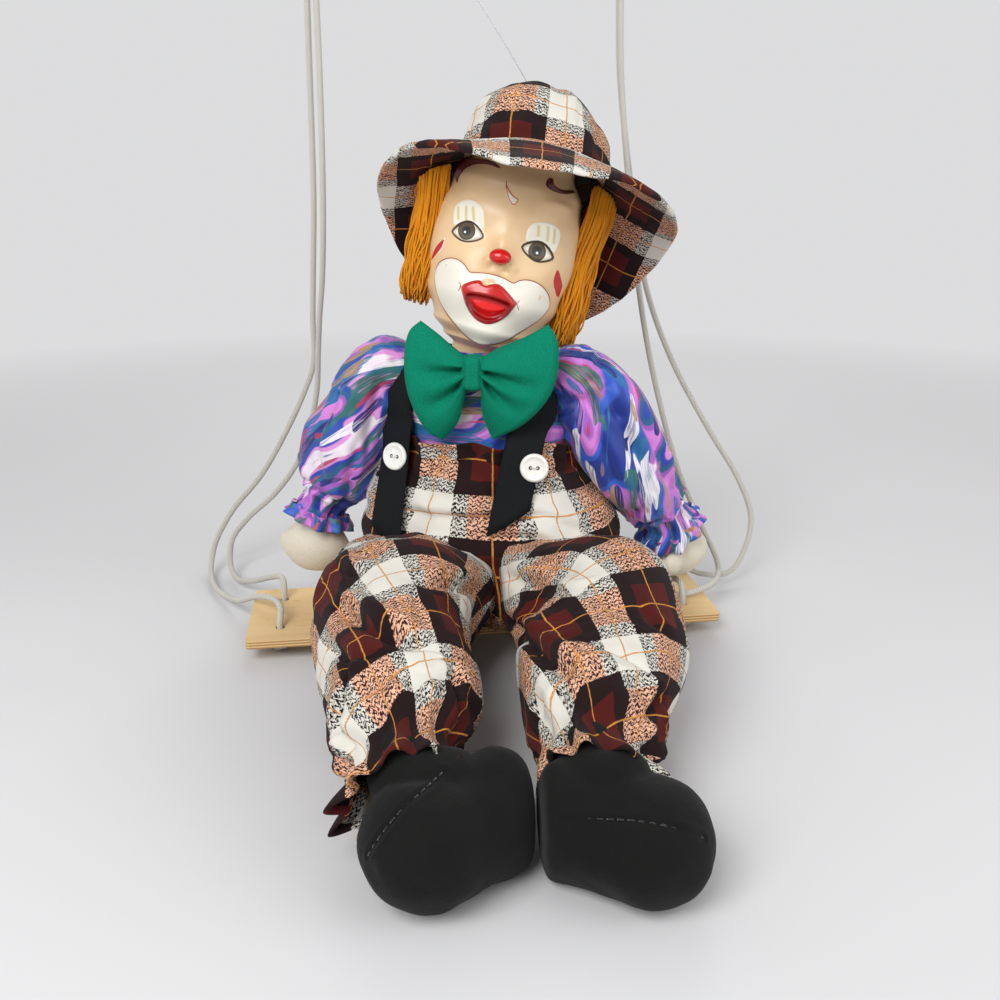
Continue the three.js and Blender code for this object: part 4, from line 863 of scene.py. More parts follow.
def face_relief(places, chart, fields, laid):
    """How far the head stands out from its plain form at each place: mouth, muzzle, eyes, curl, nose and its wings,
    cheek folds, painted hair, moulded curl and ears."""
    lips, mouth, muzzle = fields["lips"], fields["mouth"], fields["muzzle"]
    rise = 1.5 * smooth(lips, -0.2, 1.6) - 2.0 * smooth(mouth, -0.4, 1.1) + 1.5 * smooth(fields["tongue"], -0.3, 4.0)
    rise += 0.5 * smooth(muzzle, -0.4, 1.2) - 0.35 * np.exp(-(muzzle / 0.35) ** 2)
    rise += 0.35 * np.exp(-(fields["eye"] / 0.5) ** 2) + 0.3 * smooth(fields["patch"], -0.2, 0.6)
    rise += 0.35 * smooth(fields["curl"], -0.1, 0.5) - 0.35 * np.exp(-(fields["corner"] / 0.4) ** 2)
    nose = np.clip(fields["nose"] / 3.5, 0, 1)
    rise += 4.3 * np.sqrt(1 - (1 - nose) ** 2)
    for (px, py), wide, amount in (((462, 690), 1.5, -1.1), ((540, 728), 1.5, -1.1), ((505, 770), 2.0, -0.7),
                                   ((440, 668), 2.2, 0.9), ((590, 715), 2.4, 0.9), ((520, 560), 3.2, 0.6)):
        spot = laid([(px, py)])[0]
        rise += amount * np.exp(-((chart - spot) ** 2).sum(1) / wide**2)
    rise += 1.9 * smooth(fields["hairline"], 0.0, 2.0)
    x, y, z = places.T
    rise += 2.6 * np.exp(-((x - 18) / 6) ** 2 - ((z - 77) / 3.2) ** 2) * (y < 0)
    ear = np.exp(-((y - 5) / 4.5) ** 4 - ((z - 44) / 8) ** 4)
    rise += 2.6 * ear - 1.2 * np.exp(-((y - 5) / 2.2) ** 2 - ((z - 46) / 4.5) ** 2)
    rise += 0.12 * wavy(places, 9)
    return rise * smooth(z, 4, 10)


def porcelain_head():
    """The hollow head, with relief and a signed distance to each painted part at each of its points."""
    rows, front, back = 240, 340, 100
    heights = np.linspace(0, HEAD_TALL, rows)
    angles = np.concatenate([np.linspace(-0.12, 1.12, front, endpoint=False),
                             np.linspace(1.12, 1.88, back, endpoint=False)]) * np.pi
    grid = bare_head(heights, angles)
    step = np.linalg.norm(np.roll(grid, -1, 1) - grid, axis=2)
    round_by = np.concatenate([np.zeros((len(grid), 1)), np.cumsum(step, 1)[:, :-1]], 1)
    middle = int(np.argmin(np.abs(angles - np.pi / 2)))
    round_by = round_by[:, middle:middle + 1] - round_by
    climb = length_of(grid[:, middle])
    chart = np.stack([round_by, np.repeat(climb[:, None], len(angles), 1)], -1).reshape(-1, 2)

    points = from_head(grid.reshape(-1, 3))
    m = len(angles)
    i, k = np.meshgrid(np.arange(20, rows - 1), np.arange(front - 1), indexing="ij")
    a, b, c, d = i * m + k, i * m + k + 1, (i + 1) * m + k + 1, (i + 1) * m + k
    triangles = np.concatenate([np.stack([a, b, c], -1).reshape(-1, 3), np.stack([a, c, d], -1).reshape(-1, 3)])
    places = metres(points)
    tree = (BVHTree.FromPolygons([Vector(p) for p in places], triangles.tolist()), triangles, places)

    def laid(crop):
        return seen_on(tree, chart, in_frame(crop))

    fields = face_fields(chart, laid)
    rise = face_relief(grid.reshape(-1, 3), chart, fields, laid)
    grid = grid + normals_of(grid) * rise.reshape(rows, m, 1)

    hole = [grid[0] * A(s, s, 0) + A(0, 0, 0.2 + up) for s, up in ((0.8, 8.0), (0.8, 0.4), (0.93, -0.2))]
    roof = [grid[-1] * A(s, s, 1) + A(0, 0, up) for s, up in ((0.92, 0.4), (0.78, -0.6), (0.75, -6))]
    rings = np.concatenate([hole, grid, roof])
    lengths = np.concatenate([[-3, -2, -1], climb, climb[-1] + A(1, 2, 3)])
    head = mesh_object("porcelain_head", from_head(rings.reshape(-1, 3)), tube_faces(len(rings), m),
                       tube_uv(len(rings), m, 200, lengths))
    outside = -99 * np.ones((3, m))
    for name, field in fields.items():
        pad = -outside if name in ("stroke", "corner") else outside
        attribute(head, name, np.concatenate([pad, field.reshape(-1, m), pad]).ravel())
    return head


def porcelain_material():
    """Glazed skin with the painted face, each part of it laid where its signed distance is above 0."""
    p = Paint("porcelain", 0.38, Specular_IOR_Level=0.45, Coat_Weight=0.2, Coat_Roughness=0.2)

    def within(name, by=0.0, soft=0.07):
        return p.span(p.value(name), by - soft, by + soft)

    slow = p.noise((0.045, 0.045, 1), 3.0)
    speck = p.noise((1.7, 1.7, 1), 3.0, 0.7)
    skin = p.mix(slow, (214, 176, 130), (233, 204, 162))
    # Painted shade: the skin darkens toward the raised nose, as shade round and under it
    skin = p.mix(p.span(p.value("nose"), -7.0, -0.5, 0.0, 0.28), skin, (196, 148, 92))
    # Painted shade: the skin darkens just outside the muzzle's raised edge, in the fold where it meets the cheeks
    skin = p.mix(p.span(p.value("muzzle"), -2.4, 0.0, 0.0, 0.22), skin, (190, 140, 90))
    white = p.mix(p.times(p.span(speck, 0.35, 0.75), 0.4), (238, 234, 222), (214, 207, 188))
    colour = p.mix(within("patch"), skin, p.mix(0.25, white, (226, 224, 196)))
    gold = p.span(p.value("stroke"), 0.25, 1.0, 0.75, 0.0)
    colour = p.mix(gold, colour, (206, 182, 96))
    colour = p.mix(within("drop_white"), colour, white)
    colour = p.mix(within("muzzle", -0.42), colour, (140, 34, 26))
    broken = p.span(p.noise((0.35, 0.35, 1), 1.0, turn=1.0), 0.62, 0.66)
    under = p.span(p.value("mouth"), -9, -3, 0.12, 0.0)
    colour = p.mix(within("muzzle", -0.02), colour, p.mix(under, white, (206, 196, 176)))
    colour = p.mix(p.times(p.span(p.value("corner"), 0.12, 0.3, 1.0, 0.0), 0.85), colour, (150, 40, 30))
    red = p.mix(p.noise((0.3, 0.3, 1), 2.0), (168, 12, 14), (206, 22, 20))
    # Painted shade inside the open mouth: darker red just inside its edge and under the upper lip; the tongue keeps its
    # bright red
    deep = p.mix(p.span(p.value("mouth"), -1.2, 0.2), red, (122, 8, 12))
    lips = p.mix(p.span(p.value("mouth"), 0.15, 0.9), deep, (150, 8, 10))
    lips = p.mix(p.span(p.value("tongue"), 0.0, 1.2), lips, (224, 22, 18))
    lips = p.mix(p.span(p.value("lips"), 0.0, 0.5), (142, 16, 16), lips)
    colour = p.mix(within("lips"), colour, lips)
    colour = p.mix(within("drop"), colour, red)
    colour = p.mix(within("curl"), colour, (172, 40, 28))
    colour = p.mix(within("curl", 0.34), colour, skin)
    colour = p.mix(p.times(within("curl_tip"), within("curl", 0.3)), colour, (236, 222, 208))
    colour = p.mix(within("eye", -0.36), colour, (58, 32, 18))
    eyeball = p.mix(p.span(p.value("white"), 0.2, 1.6), (200, 186, 160), (240, 234, 220))
    colour = p.mix(within("white"), colour, eyeball)
    rays = p.noise((2.0, 2.0, 1), 3.0, 0.8)
    iris = p.mix(rays, (52, 42, 24), (98, 82, 54))
    iris = p.mix(p.span(p.value("iris"), 0.25, 0.75), (38, 30, 20), iris)
    pupil = p.mix(within("pupil", 0.0, 0.15), iris, (12, 10, 10))
    pupil = p.mix(within("spark"), pupil, (236, 240, 248))
    colour = p.mix(p.times(within("iris"), within("white")), colour, pupil)
    colour = p.mix(within("hairline"), colour, p.mix(slow, (58, 16, 14), (96, 26, 20)))
    colour = p.mix(within("nose"), colour, p.mix(p.span(p.value("nose"), 0.0, 0.5), (120, 14, 14), (204, 20, 22)))
    colour = p.mix(within("chip"), colour, p.mix(slow, (214, 170, 130), (232, 200, 160)))
    grime = p.times(p.span(p.noise((0.9, 0.9, 1), 4.0, 0.7, turn=2.0), 0.68, 0.74), 0.35)
    colour = p.mix(p.times(grime, within("muzzle")), colour, (120, 104, 84))
    p.set("Base Color", colour)
    glossy = p.math("MAXIMUM", within("lips"), within("nose"))
    p.set("Roughness", p.sum_of(glossy, -0.22, p.sum_of(speck, 0.12, 0.36)))
    chipped = p.times(within("chip"), -1.0)
    p.bump(p.plus(p.times(slow, 0.5), p.plus(chipped, p.times(broken, 0.05))), 0.3, 0.0006)
    return p.material


head = porcelain_head()
head.data.materials.append(porcelain_material())
dress(head, HEAD, "head", slot="porcelain")

# ---- Hat
# The hat's frame stands on the head, its z up through the crown, tipped back and a little aside.
HAT_AT = A(6.5, 3, 75)
_r, _t = math.radians(-3), math.radians(-31)
HAT_TURN = (np.array([[math.cos(_r), 0, math.sin(_r)], [0, 1, 0], [-math.sin(_r), 0, math.cos(_r)]])
            @ np.array([[1, 0, 0], [0, math.cos(_t), -math.sin(_t)], [0, math.sin(_t), math.cos(_t)]]))


def from_hat(p):
    """Places of the hat's frame in the modelling frame."""
    return from_head(np.asarray(p, float) @ HAT_TURN.T + HAT_AT)


CROWN_FOOT, CROWN_RISE, CROWN_REACH = 7, 46.5, 33.6


def hat_crown():
    """The soft crown: four seams, a sewn band at its foot and a slumping dome."""
    n, m = 90, 160
    angle = all_round(m)
    rings = []
    for i in range(n):
        t = i / (n - 1)
        climb = math.sin(t * math.pi / 2) ** 0.92
        rise = CROWN_FOOT + CROWN_RISE * climb
        dome = math.sqrt(max(1 - (max(climb - 0.42, 0) / 0.58) ** 2.8, 0.0008))
        reach = CROWN_REACH * dome * (1 + 0.02 * math.sin(climb * 6))
        slump = 1 + 0.035 * climb * np.sin(3 * angle + 1)
        x, y = reach * slump * np.cos(angle) - 1.5 * climb, reach * slump * np.sin(angle)
        ring = np.column_stack([x, y, np.full(m, rise)])
        fold = 1.3 * wavy(ring * A(1, 1, 0.55), 11, 1.0) + 0.7 * wavy(ring, 5.5, 3.0)
        aside = [np.angle(np.exp(1j * (angle - seam))) * max(reach, 4) for seam in (0.5, 2.1, 3.6, 5.2)]
        seams = sum(np.exp(-(far / 0.8) ** 2) for far in aside)
        band = math.exp(-((rise - 8.0) / 1.6) ** 2)
        out = fold * smooth(climb, 0.0, 0.15) - 0.7 * seams - 0.6 * band
        away = np.column_stack([np.cos(angle), np.sin(angle), np.full(m, climb)])
        rings.append(ring + away / np.linalg.norm(away, axis=1, keepdims=True) * out[:, None])
    rings = np.array(rings)
    lengths = length_of(rings[:, 0])
    crown = capped("hat_crown_cloth", from_hat(rings), PLAID, 2 * np.pi * 33.5, lengths + 6, caps=(False, True))
    turned_cloth(crown, 0, along=5.5)
    return crown


BRIM_FOOT, BRIM_EDGE = 33.8, 67.5  # distances from the hat's middle


def brim_level(share, angle):
    """Height of the brim's middle in the hat's frame, from its foot (0) to its edge (1)."""
    curled = 11 * np.cos(2 * angle) + 1.6 * np.sin(5 * angle + 0.6)
    return 8.5 - 24 * share**1.1 + curled * share**1.6


def above_brim(p):
    """How far places of the head's frame stand above a tent just under the brim and up inside the crown."""
    p = (p - HAT_AT) @ HAT_TURN
    reach = np.hypot(p[:, 0], p[:, 1])
    share = np.clip((reach - BRIM_FOOT) / (BRIM_EDGE - BRIM_FOOT), 0, 1)
    inside = np.clip(BRIM_FOOT - 3 - reach, 0, None)
    return np.clip(p[:, 2] - brim_level(share, np.arctan2(p[:, 1], p[:, 0])) + 4.5 - 1.5 * inside, 0, None)


def hat_brim():
    """A doubled brim: one sheet out along the top, round the edge and back below."""
    m = 260
    angle = all_round(m)
    forward = np.maximum(0, -np.sin(angle))
    out = np.concatenate([np.linspace(0, 0.97, 40), [0.99, 1.0, 0.99], np.linspace(0.97, 0, 24)])
    level = np.concatenate([np.full(40, 0.5), [0.35, 0.0, -0.35], np.full(24, -0.5)])
    rings = []
    for share, side in zip(out, level):
        reach = BRIM_FOOT + (BRIM_EDGE - BRIM_FOOT) * share
        place = np.column_stack([reach * np.cos(angle), reach * np.sin(angle), brim_level(share, angle)])
        ripple = (1.1 * wavy(place * A(1, 1, 0), 13, 2.0) + 0.5 * wavy(place * A(1, 1, 0), 6, 5.0)) * share
        rows = sum(math.exp(-((share - s) / 0.012) ** 2) for s in (0.26, 0.5, 0.74, 0.95))
        thick = 3.0 * (1 + 0.35 * forward * smooth(share, 0.7, 0.95))
        place[:, 2] += ripple + side * (thick - 1.1 * rows)
        rings.append(place)
    rings = np.array(rings)
    far = np.vstack([np.zeros((1, m)), np.cumsum(np.linalg.norm(np.diff(rings, axis=0), axis=2), axis=0)])
    rim = int(out.argmax())
    far = BRIM_FOOT + np.where(np.arange(len(out))[:, None] <= rim, far, 2 * far[rim] - far)
    chart = np.stack([far * np.cos(angle) + 9, far * np.sin(angle) + 26], axis=2).reshape(-1, 2)
    brim = capped("hat_brim_cloth", from_hat(rings), PLAID, caps=(False, False))
    corners = np.empty(len(brim.data.loops), int)
    brim.data.loops.foreach_get("vertex_index", corners)
    brim.data.uv_layers.new(name="cloth").data.foreach_set("uv", chart[corners].ravel().astype(np.float32))
    return brim


crown = dress(hat_crown(), HEAD, "hat_crown", slot="plaid_cloth")
brim = dress(hat_brim(), HEAD, "hat_brim", slot="plaid_cloth")

# ---- Yarn hair
# Middle and radii of each lock, its count of strands, the angles that they spread over, and the level of their ends
LOCKS = {
    "hair_right": (A(-32, 6, 48), A(10, 15, 31), 250, (1.2, 5.2), -0.84),
    "hair_left": (A(33, 8, 44), A(10, 15, 33), 260, (-2.0, 1.9), -0.8),
    "hair_back": (A(0, 24, 48), A(29, 17, 33), 240, (0.1, 3.04), -0.9),
}


def yarn_lock(name, centre, radii, count, spread, ends):
    """Loose strands that hang over the form of a lock, in three layers, with ragged ends."""
    points, faces, uv, depth = [], [], [], []
    sides, steps, r = 5, 24, 0.52
    for j in range(count):
        layer = j % 3
        around = spread[0] + (spread[1] - spread[0]) * ((j + RNG.random()) / count)
        top, bottom = 1.42 - 0.1 * RNG.random(), ends + 0.24 * RNG.random() ** 1.5
        sway, beat, drift = 1.7 * RNG.standard_normal(), 1 + 1.8 * RNG.random(), 0.22 * RNG.standard_normal()
        s = np.linspace(0, 1, steps)
        level = top + (bottom - top) * s
        bulge = np.sqrt(np.clip(1 - np.abs(np.minimum(level, 0.6)) ** 2.6, 0.06, 1))
        bulge *= 1.02 - 0.1 * layer + 0.05 * RNG.standard_normal()
        turn = around + drift * s
        path = centre + radii * np.column_stack([bulge * np.cos(turn), bulge * np.sin(turn), level])
        crowned = smooth(level, 0.2, 1.1)
        path[:, 0] += 2.5 * crowned * np.sign(centre[0])
        path[:, 1] -= 8.0 * crowned * abs(np.sign(centre[0]))
        path[:, 0] += sway * np.sin(2 * np.pi * beat * s + j) * s * 0.7
        path[:, 1] += sway * np.cos(2 * np.pi * beat * s + 2 * j) * s * 0.7
        for _ in range(4):
            path[:, 2] -= above_brim(path)
        thin = r * (1 - 0.35 * s[:, None] ** 6)
        _, side, rise = frames_along(path, A(0.2, 0.9, 0.1))
        rings = oval(path[:, None], side[:, None], rise[:, None], thin, thin, all_round(sides))
        base = len(points)
        points.extend(rings.reshape(-1, 3))
        faces += tube_faces(steps, sides, offset=base)
        uv.append(tube_uv(steps, sides, 2 * np.pi * r, length_of(path) + 13 * j))
        for ring, turn_way in ((0, 1), (steps - 1, -1)):
            faces.append([base + ring * sides + k for k in range(sides)][::-turn_way])
            uv.append(np.zeros((sides, 2)))
        # Painted shade: inner layers get a higher depth, which the yarn's colour turns into darker orange
        depth += [0.25 * layer + 0.15 * RNG.random()] * (steps * sides)
    lock = mesh_object(name + "_yarn", from_head(np.array(points)), faces, np.vstack(uv), YARN)
    attribute(lock, "depth", depth)
    return lock


for _name, _lock in LOCKS.items():
    dress(yarn_lock(_name, *_lock), HEAD, _name, slot="orange_yarn")

# ---- Trunk and legs
def facing(degrees):
    """Level directions aside and ahead of what is turned from the front toward the picture's left."""
    turn = math.radians(degrees)
    return A(math.cos(turn), -math.sin(turn), 0), A(-math.sin(turn), -math.cos(turn), 0)


LEG_AXIS, LEG_AHEAD = facing(2.7)
CHEST_SIDE, CHEST_AHEAD = facing(25)
BETWEEN_LEGS = 3.2  # along LEG_AXIS
PLANK_TOP = 11.0
PLANK_REACH = 31  # half its depth with a margin for cloth that hangs over its edges
# Places of the joints and the shoe, the side that the leg is on (way), the cloth pattern's turn in degrees, how far the
# shoe reaches past its toe, and the half widths at thigh, knee, calf and cuff
LEGS = {
    "right": dict(hip=A(-28, -11, 37.6), knee=A(-46, -86, 40), ankle=A(-45, -164, 31), way=-1, seed=0.7, turned=16,
                  heel=A(-16, -181, 17.6), toe=A(-46, -201, 20), reach=16, wide=(36, 34, 26.5, 14)),
    "left": dict(hip=A(30, -13.74, 37.6), knee=A(36, -96, 38), ankle=A(14, -168, 30), way=1, seed=3.1, turned=33,
                 heel=A(4, -190, 18.2), toe=A(35, -210, 18.6), reach=11, wide=(36, 34.5, 28, 15)),
}
# Each crease: the pixels it runs through, how deep it is and how wide, in mm.
CREASES = {
    "right": [([(300, 588), (330, 604), (352, 617), (385, 632), (415, 642), (436, 640)], 5.5, 2.6),
              ([(320, 646), (338, 655), (347, 668), (344, 690), (345, 711), (353, 729), (376, 752)], 4.0, 2.2),
              ([(404, 576), (426, 583), (465, 588), (486, 594)], 4.0, 2.4),
              ([(413, 586), (419, 608), (424, 626)], 1.6, 1.6),
              ([(445, 654), (458, 680), (464, 705), (463, 728)], 3.2, 2.0),
              ([(330, 566), (352, 572), (378, 570)], 2.0, 2.0),
              ([(385, 668), (410, 684), (432, 706)], 1.6, 1.8),
              ([(416, 755), (409, 738), (401, 722)], 2.0, 1.3), ([(383, 772), (376, 755), (370, 742)], 2.2, 1.3),
              ([(350, 792), (343, 768), (336, 748)], 2.4, 1.5), ([(399, 764), (392, 748)], 1.6, 1.2)],
    "left": [([(495, 608), (512, 625), (532, 646), (558, 665), (588, 679), (612, 700)], 5.0, 2.6),
             ([(500, 575), (528, 584), (565, 592), (606, 590)], 3.4, 2.4),
             ([(552, 676), (540, 700), (535, 726)], 2.6, 1.8),
             ([(690, 688), (668, 690), (645, 704), (628, 722)], 3.6, 2.2),
             ([(640, 600), (655, 622), (676, 640)], 2.2, 2.0),
             ([(575, 700), (598, 722), (612, 745)], 2.0, 1.8),
             ([(569, 748), (571, 730), (576, 716)], 2.0, 1.3), ([(592, 752), (590, 732)], 1.8, 1.2),
             ([(626, 772), (615, 750), (608, 736)], 2.2, 1.4), ([(533, 752), (529, 732)], 1.8, 1.3)],
}


def tree_of(piece):
    """A piece's faces, ready for ray casts."""
    mesh = piece.data
    points = [v.co.copy() for v in mesh.vertices]
    return BVHTree.FromPolygons(points, [list(f.vertices) for f in mesh.polygons])


def touched(tree, px, py):
    """The place and outward direction where a sight line meets a piece, in the modelling frame."""
    hit = tree.ray_cast(Vector(metres(EYE)), Vector(sight(px, py)))
    if hit[0] is None:
        return None
    normal = np.array(hit[1])
    normal *= -np.sign(normal @ sight(px, py))
    return np.array(hit[0]) * 1000 - SHIFT, normal


def met(tree, pixels):
    """What touched gives for each of the pixels whose sight line meets the piece."""
    return [hit for hit in (touched(tree, *px) for px in pixels) if hit is not None]


def creased(t, angle, seed, strength):
    """Slanting folds: rounded on the outside, narrow where the cloth turns in."""
    total = 0
    for turns, climb, weight in ((2, 9.0, 1.0), (-3, 15.0, 0.55), (5, 24.0, 0.3)):
        phase = turns * angle + climb * t + seed * (1 + turns) + 0.8 * math.sin(5 * t + seed)
        total = total + weight * (1 - 2 * np.abs(np.cos(phase / 2)) ** 3.0)
    return strength * total


TRACED = 48  # places along a crease


def pinched(points, faces, sides, creases):
    """Deep creases where sight lines meet the cloth, each with slack cloth above that hangs over it."""
    mesh = BVHTree.FromPolygons([Vector(p) for p in metres(points)], faces)
    middle = points.reshape(-1, sides, 3).mean(1)
    out = points - np.repeat(middle, sides, 0)
    out /= np.linalg.norm(out, axis=1, keepdims=True)
    moved = points.copy()
    for pixels, depth, width in creases:
        hits = [place for place, _ in met(mesh, pixels)]
        if len(hits) < 2:
            continue
        line = spline(hits, TRACED)
        gap = points[:, None] - line[None]
        far = np.linalg.norm(gap, axis=2)
        near = far.argmin(1)
        each = np.arange(len(points))
        gap, far, share = gap[each, near], far[each, near], near / (TRACED - 1)
        above = (gap @ UPWARD) / np.maximum(far, 0.3)
        d = far / width
        ends = smooth(share, -0.02, 0.25) * smooth(1 - share, -0.02, 0.3)
        ridge = np.exp(-((d - 2.3) / 1.2) ** 2) * (0.34 + 0.3 * above)
        moved += out * (depth * ends * (ridge - np.exp(-d**2)))[:, None]
    return moved


def draped(rings, pinned, creases, **cloth):
    """Places of a tube of cloth after it has buckled and the photograph's creases are pressed in, in one row."""
    n, m = rings.shape[:2]
    faces = tube_faces(n, m)
    return pinched(settled(rings.reshape(-1, 3), faces, pinned, **cloth), faces, m, creases)


def turned_in(rings, down, steps):
    """Adds rings inside the open edge: each a share of the way to the middle and a distance against down."""
    edge = rings[-1]
    return np.concatenate([rings, [edge + (edge.mean(0) - edge) * share - down * back for share, back in steps]])


def shin_way(leg):
    """The direction from knee to ankle in the plane that the knee bends in."""
    way = leg["ankle"] - leg["knee"]
    return unit(way - LEG_AXIS * (way @ LEG_AXIS))


def own_side(p, way, softness):
    """Presses places that reach past the middle between the legs back to their own side."""
    aside = (p @ LEG_AXIS - BETWEEN_LEGS) * way
    press = np.log1p(np.exp(-np.clip(aside - 0.5, -40, 40) / softness)) * softness
    return p + LEG_AXIS * (press * way)[:, None]


def leg_piece(name, leg):
    """A trouser leg with its gathered cuff, in one skin from the hip to the open lower edge."""
    hip, knee, ankle = leg["hip"], leg["knee"], leg["ankle"]
    ahead = shin_way(leg)
    path = [hip - LEG_AHEAD * 24, hip, (hip + knee) / 2, knee, (knee + ankle) / 2, ankle,
            ankle + ahead * 16 - A(0, 0, 2)]
    thigh, bend, calf, cuff = leg["wide"]
    radii = keyed([(0, 22, 15), (0.16, thigh, 20), (0.32, thigh + 1, 25), (0.48, bend, 31.5), (0.6, bend - 4, 29),
                   (0.7, calf + 1, 28), (0.8, calf - 1.5, 25), (0.87, calf - 5, 21.5), (0.92, cuff, 14.5),
                   (0.935, cuff - 0.5, 14), (1, cuff + 4.5, 18.5)])

    def fold(t, angle):
        gather = smooth(t, 0.78, 0.93)
        return (creased(t, angle, leg["seed"], 0.05) * (1 - gather)
                + 0.075 * gather * np.sin(11 * angle + 2 * t)
                + 0.12 * smooth(t, 0.935, 1.0) * np.sin(11 * angle + 0.55))

    rings, lengths = soft_rings(path, radii, LEG_AXIS, 130, 170, (0.12, 0), fold)
    n, m = rings.shape[:2]
    share = np.arange(n) / n
    pinned = np.repeat(np.maximum(smooth(-share, -0.1, -0.02), smooth(share, 0.82, 0.9)), m)
    flat = own_side(draped(rings, pinned, CREASES[name], grow=0.04, frames=10, cap=2.0, bend=0.05), leg["way"], 1.2)
    over_plank = (np.abs(flat[:, 1]) < PLANK_REACH) & (flat[:, 2] < 34)
    lowest = np.where(over_plank, PLANK_TOP + 0.4, 0.5)
    flat[:, 2] = np.maximum(flat[:, 2], lowest)
    rings = flat.reshape(n, m, 3)
    outer = np.clip((rings - rings.mean(1, keepdims=True)) @ LEG_AXIS * leg["way"], 0, 22) / 22
    droop = outer * smooth(share, 0.74, 1.0)[:, None]
    rings += droop[..., None] * (ahead * 9 - A(0, 0, 5) + LEG_AXIS * 6.5 * leg["way"])
    rings[:, :, 2] = np.maximum(rings[:, :, 2], 0.8)
    rings = turned_in(rings, ahead, ((0.05, -0.3), (0.1, 0.6), (0.14, 3.0)))
    lengths = np.concatenate([lengths, lengths[-1] + A(1, 2, 4)]) + 19 * leg["way"]
    trousers = capped(f"trouser_leg_{name}", rings, PLAID, 2 * np.pi * 33, lengths, caps=(True, False))
    turned_cloth(trousers, leg["turned"])
    slope = unit(A(*(knee - hip)[:2], 0)) * 14
    dress(trousers, (f"thigh_{name}", f"shin_{name}", metres(knee - slope), metres(knee + slope)),
          f"trouser_thigh_{name}", f"trouser_shin_{name}", f"trouser_cuff_{name}", slot="plaid_cloth", fill=0.65)


for _name, _leg in LEGS.items():
    leg_piece(_name, _leg)


def trunk_rings(levels, keys, sides=120):
    """Level oval rings round the trunk, turned as the chest is, by rows of (height, half width, half depth)."""
    radii = keyed(keys)
    angle = all_round(sides)
    out = []
    for z in levels:
        wide, deep = radii(z)
        centre = A(-np.clip((z - 60) / 76, 0, 1), 2 - np.clip(z / 136, 0, 1) * 2, z)
        out.append(oval(centre, CHEST_SIDE, CHEST_AHEAD, wide, deep, angle))
    return np.array(out), angle


def outward_of(ring):
    """Level directions out from a ring's middle."""
    away = (ring - ring.mean(0)) * A(1, 1, 0)
    return away / np.maximum(np.linalg.norm(away, axis=1, keepdims=True), 1e-6)


SEAT_CREASES = [([(382, 506), (420, 515), (470, 520), (520, 516), (560, 523), (590, 540)], 2.6, 2.2),
                ([(376, 540), (410, 555), (440, 552), (462, 566)], 2.6, 2.2),
                ([(480, 545), (520, 538), (565, 552), (600, 565)], 2.4, 2.2)]
SEAT_CREASES += [([(x, 458 + 0.05 * (x - 400)), (x - 1, 478 + 0.05 * (x - 400))], 1.2, 1.2)
                 for x in (412, 426, 441, 457, 472, 488, 503, 556, 568, 580)]


def seat_piece():
    """Trouser seat and bib: gathered at the open upper edge, slack over the lap."""
    levels = np.concatenate([[11.4, 11.6, 12.4, 14], np.linspace(17, 92, 76), np.linspace(93, 100, 12)])
    keys = [(11, 40, 24), (13, 52, 33), (22, 58, 40), (40, 59, 44), (54, 57, 46), (66, 54, 43), (78, 50.5, 37),
            (88, 47, 33.5), (93, 46, 32), (95, 45.6, 31.4), (100, 47.5, 33.5)]
    rings, angle = trunk_rings(levels, keys)
    for i, z in enumerate(levels):
        front, left = np.clip(np.sin(angle), 0, 1), np.clip(np.cos(angle), 0, 1)
        slack = 3.0 * math.exp(-((z - 56) / 8) ** 2) * front + 6.5 * math.exp(-((z - 60) / 20) ** 2) * left
        gather = smooth(z, 84, 95)
        fold = creased(z / 110, angle, 1.9, 1.0) * (1 - gather)
        fold = fold + 1.5 * gather * np.sin(17 * angle + 0.9 * np.sin(3 * angle))
        frill = 1.2 * smooth(z, 95, 100) * np.sin(17 * angle + 0.6)
        rings[i] += outward_of(rings[i]) * (slack + fold + frill)[:, None]
        rings[i][:, 2] += 1.0 * smooth(z, 94, 100) * np.sin(9 * angle + 1)
    n, m = rings.shape[:2]
    height = np.repeat(levels, m)
    pinned = np.maximum(smooth(-height, -16, -12), smooth(height, 86, 92))
    flat = draped(rings, pinned, SEAT_CREASES, grow=0.05, frames=12, cap=3.0, bend=0.08)
    ahead = -(flat[:, 1] - 2)
    low = smooth(-flat[:, 2], -50, -42)
    between = np.exp(-((flat[:, 0] - 2) / 9) ** 4)
    back = np.clip(ahead - 4, 0, None) * 0.93 * low * (1 - between)
    forward = 16 * between * low * np.exp(-((flat[:, 2] - 32) / 15) ** 2) * smooth(ahead, 4, 14)
    flat[:, 1] += back - forward
    flat[:, 2] = np.maximum(flat[:, 2], PLANK_TOP + 0.35)
    rings = flat.reshape(n, m, 3)
    lining = [rings[-1] - outward_of(rings[-1]) * inward - A(0, 0, down)
              for inward, down in ((0.5, -0.2), (1.1, 0.4), (1.3, 7.0))]
    rings = np.concatenate([rings, lining])
    lengths = np.concatenate([levels, levels[-1] + A(0.5, 1.5, 8)]) + 9
    seat = capped("trouser_seat_cloth", rings, PLAID, 2 * np.pi * 45, lengths, caps=(True, False))
    return dress(seat, TRUNK, "trouser_seat", slot="plaid_cloth", fill=0.6)


seat = seat_piece()


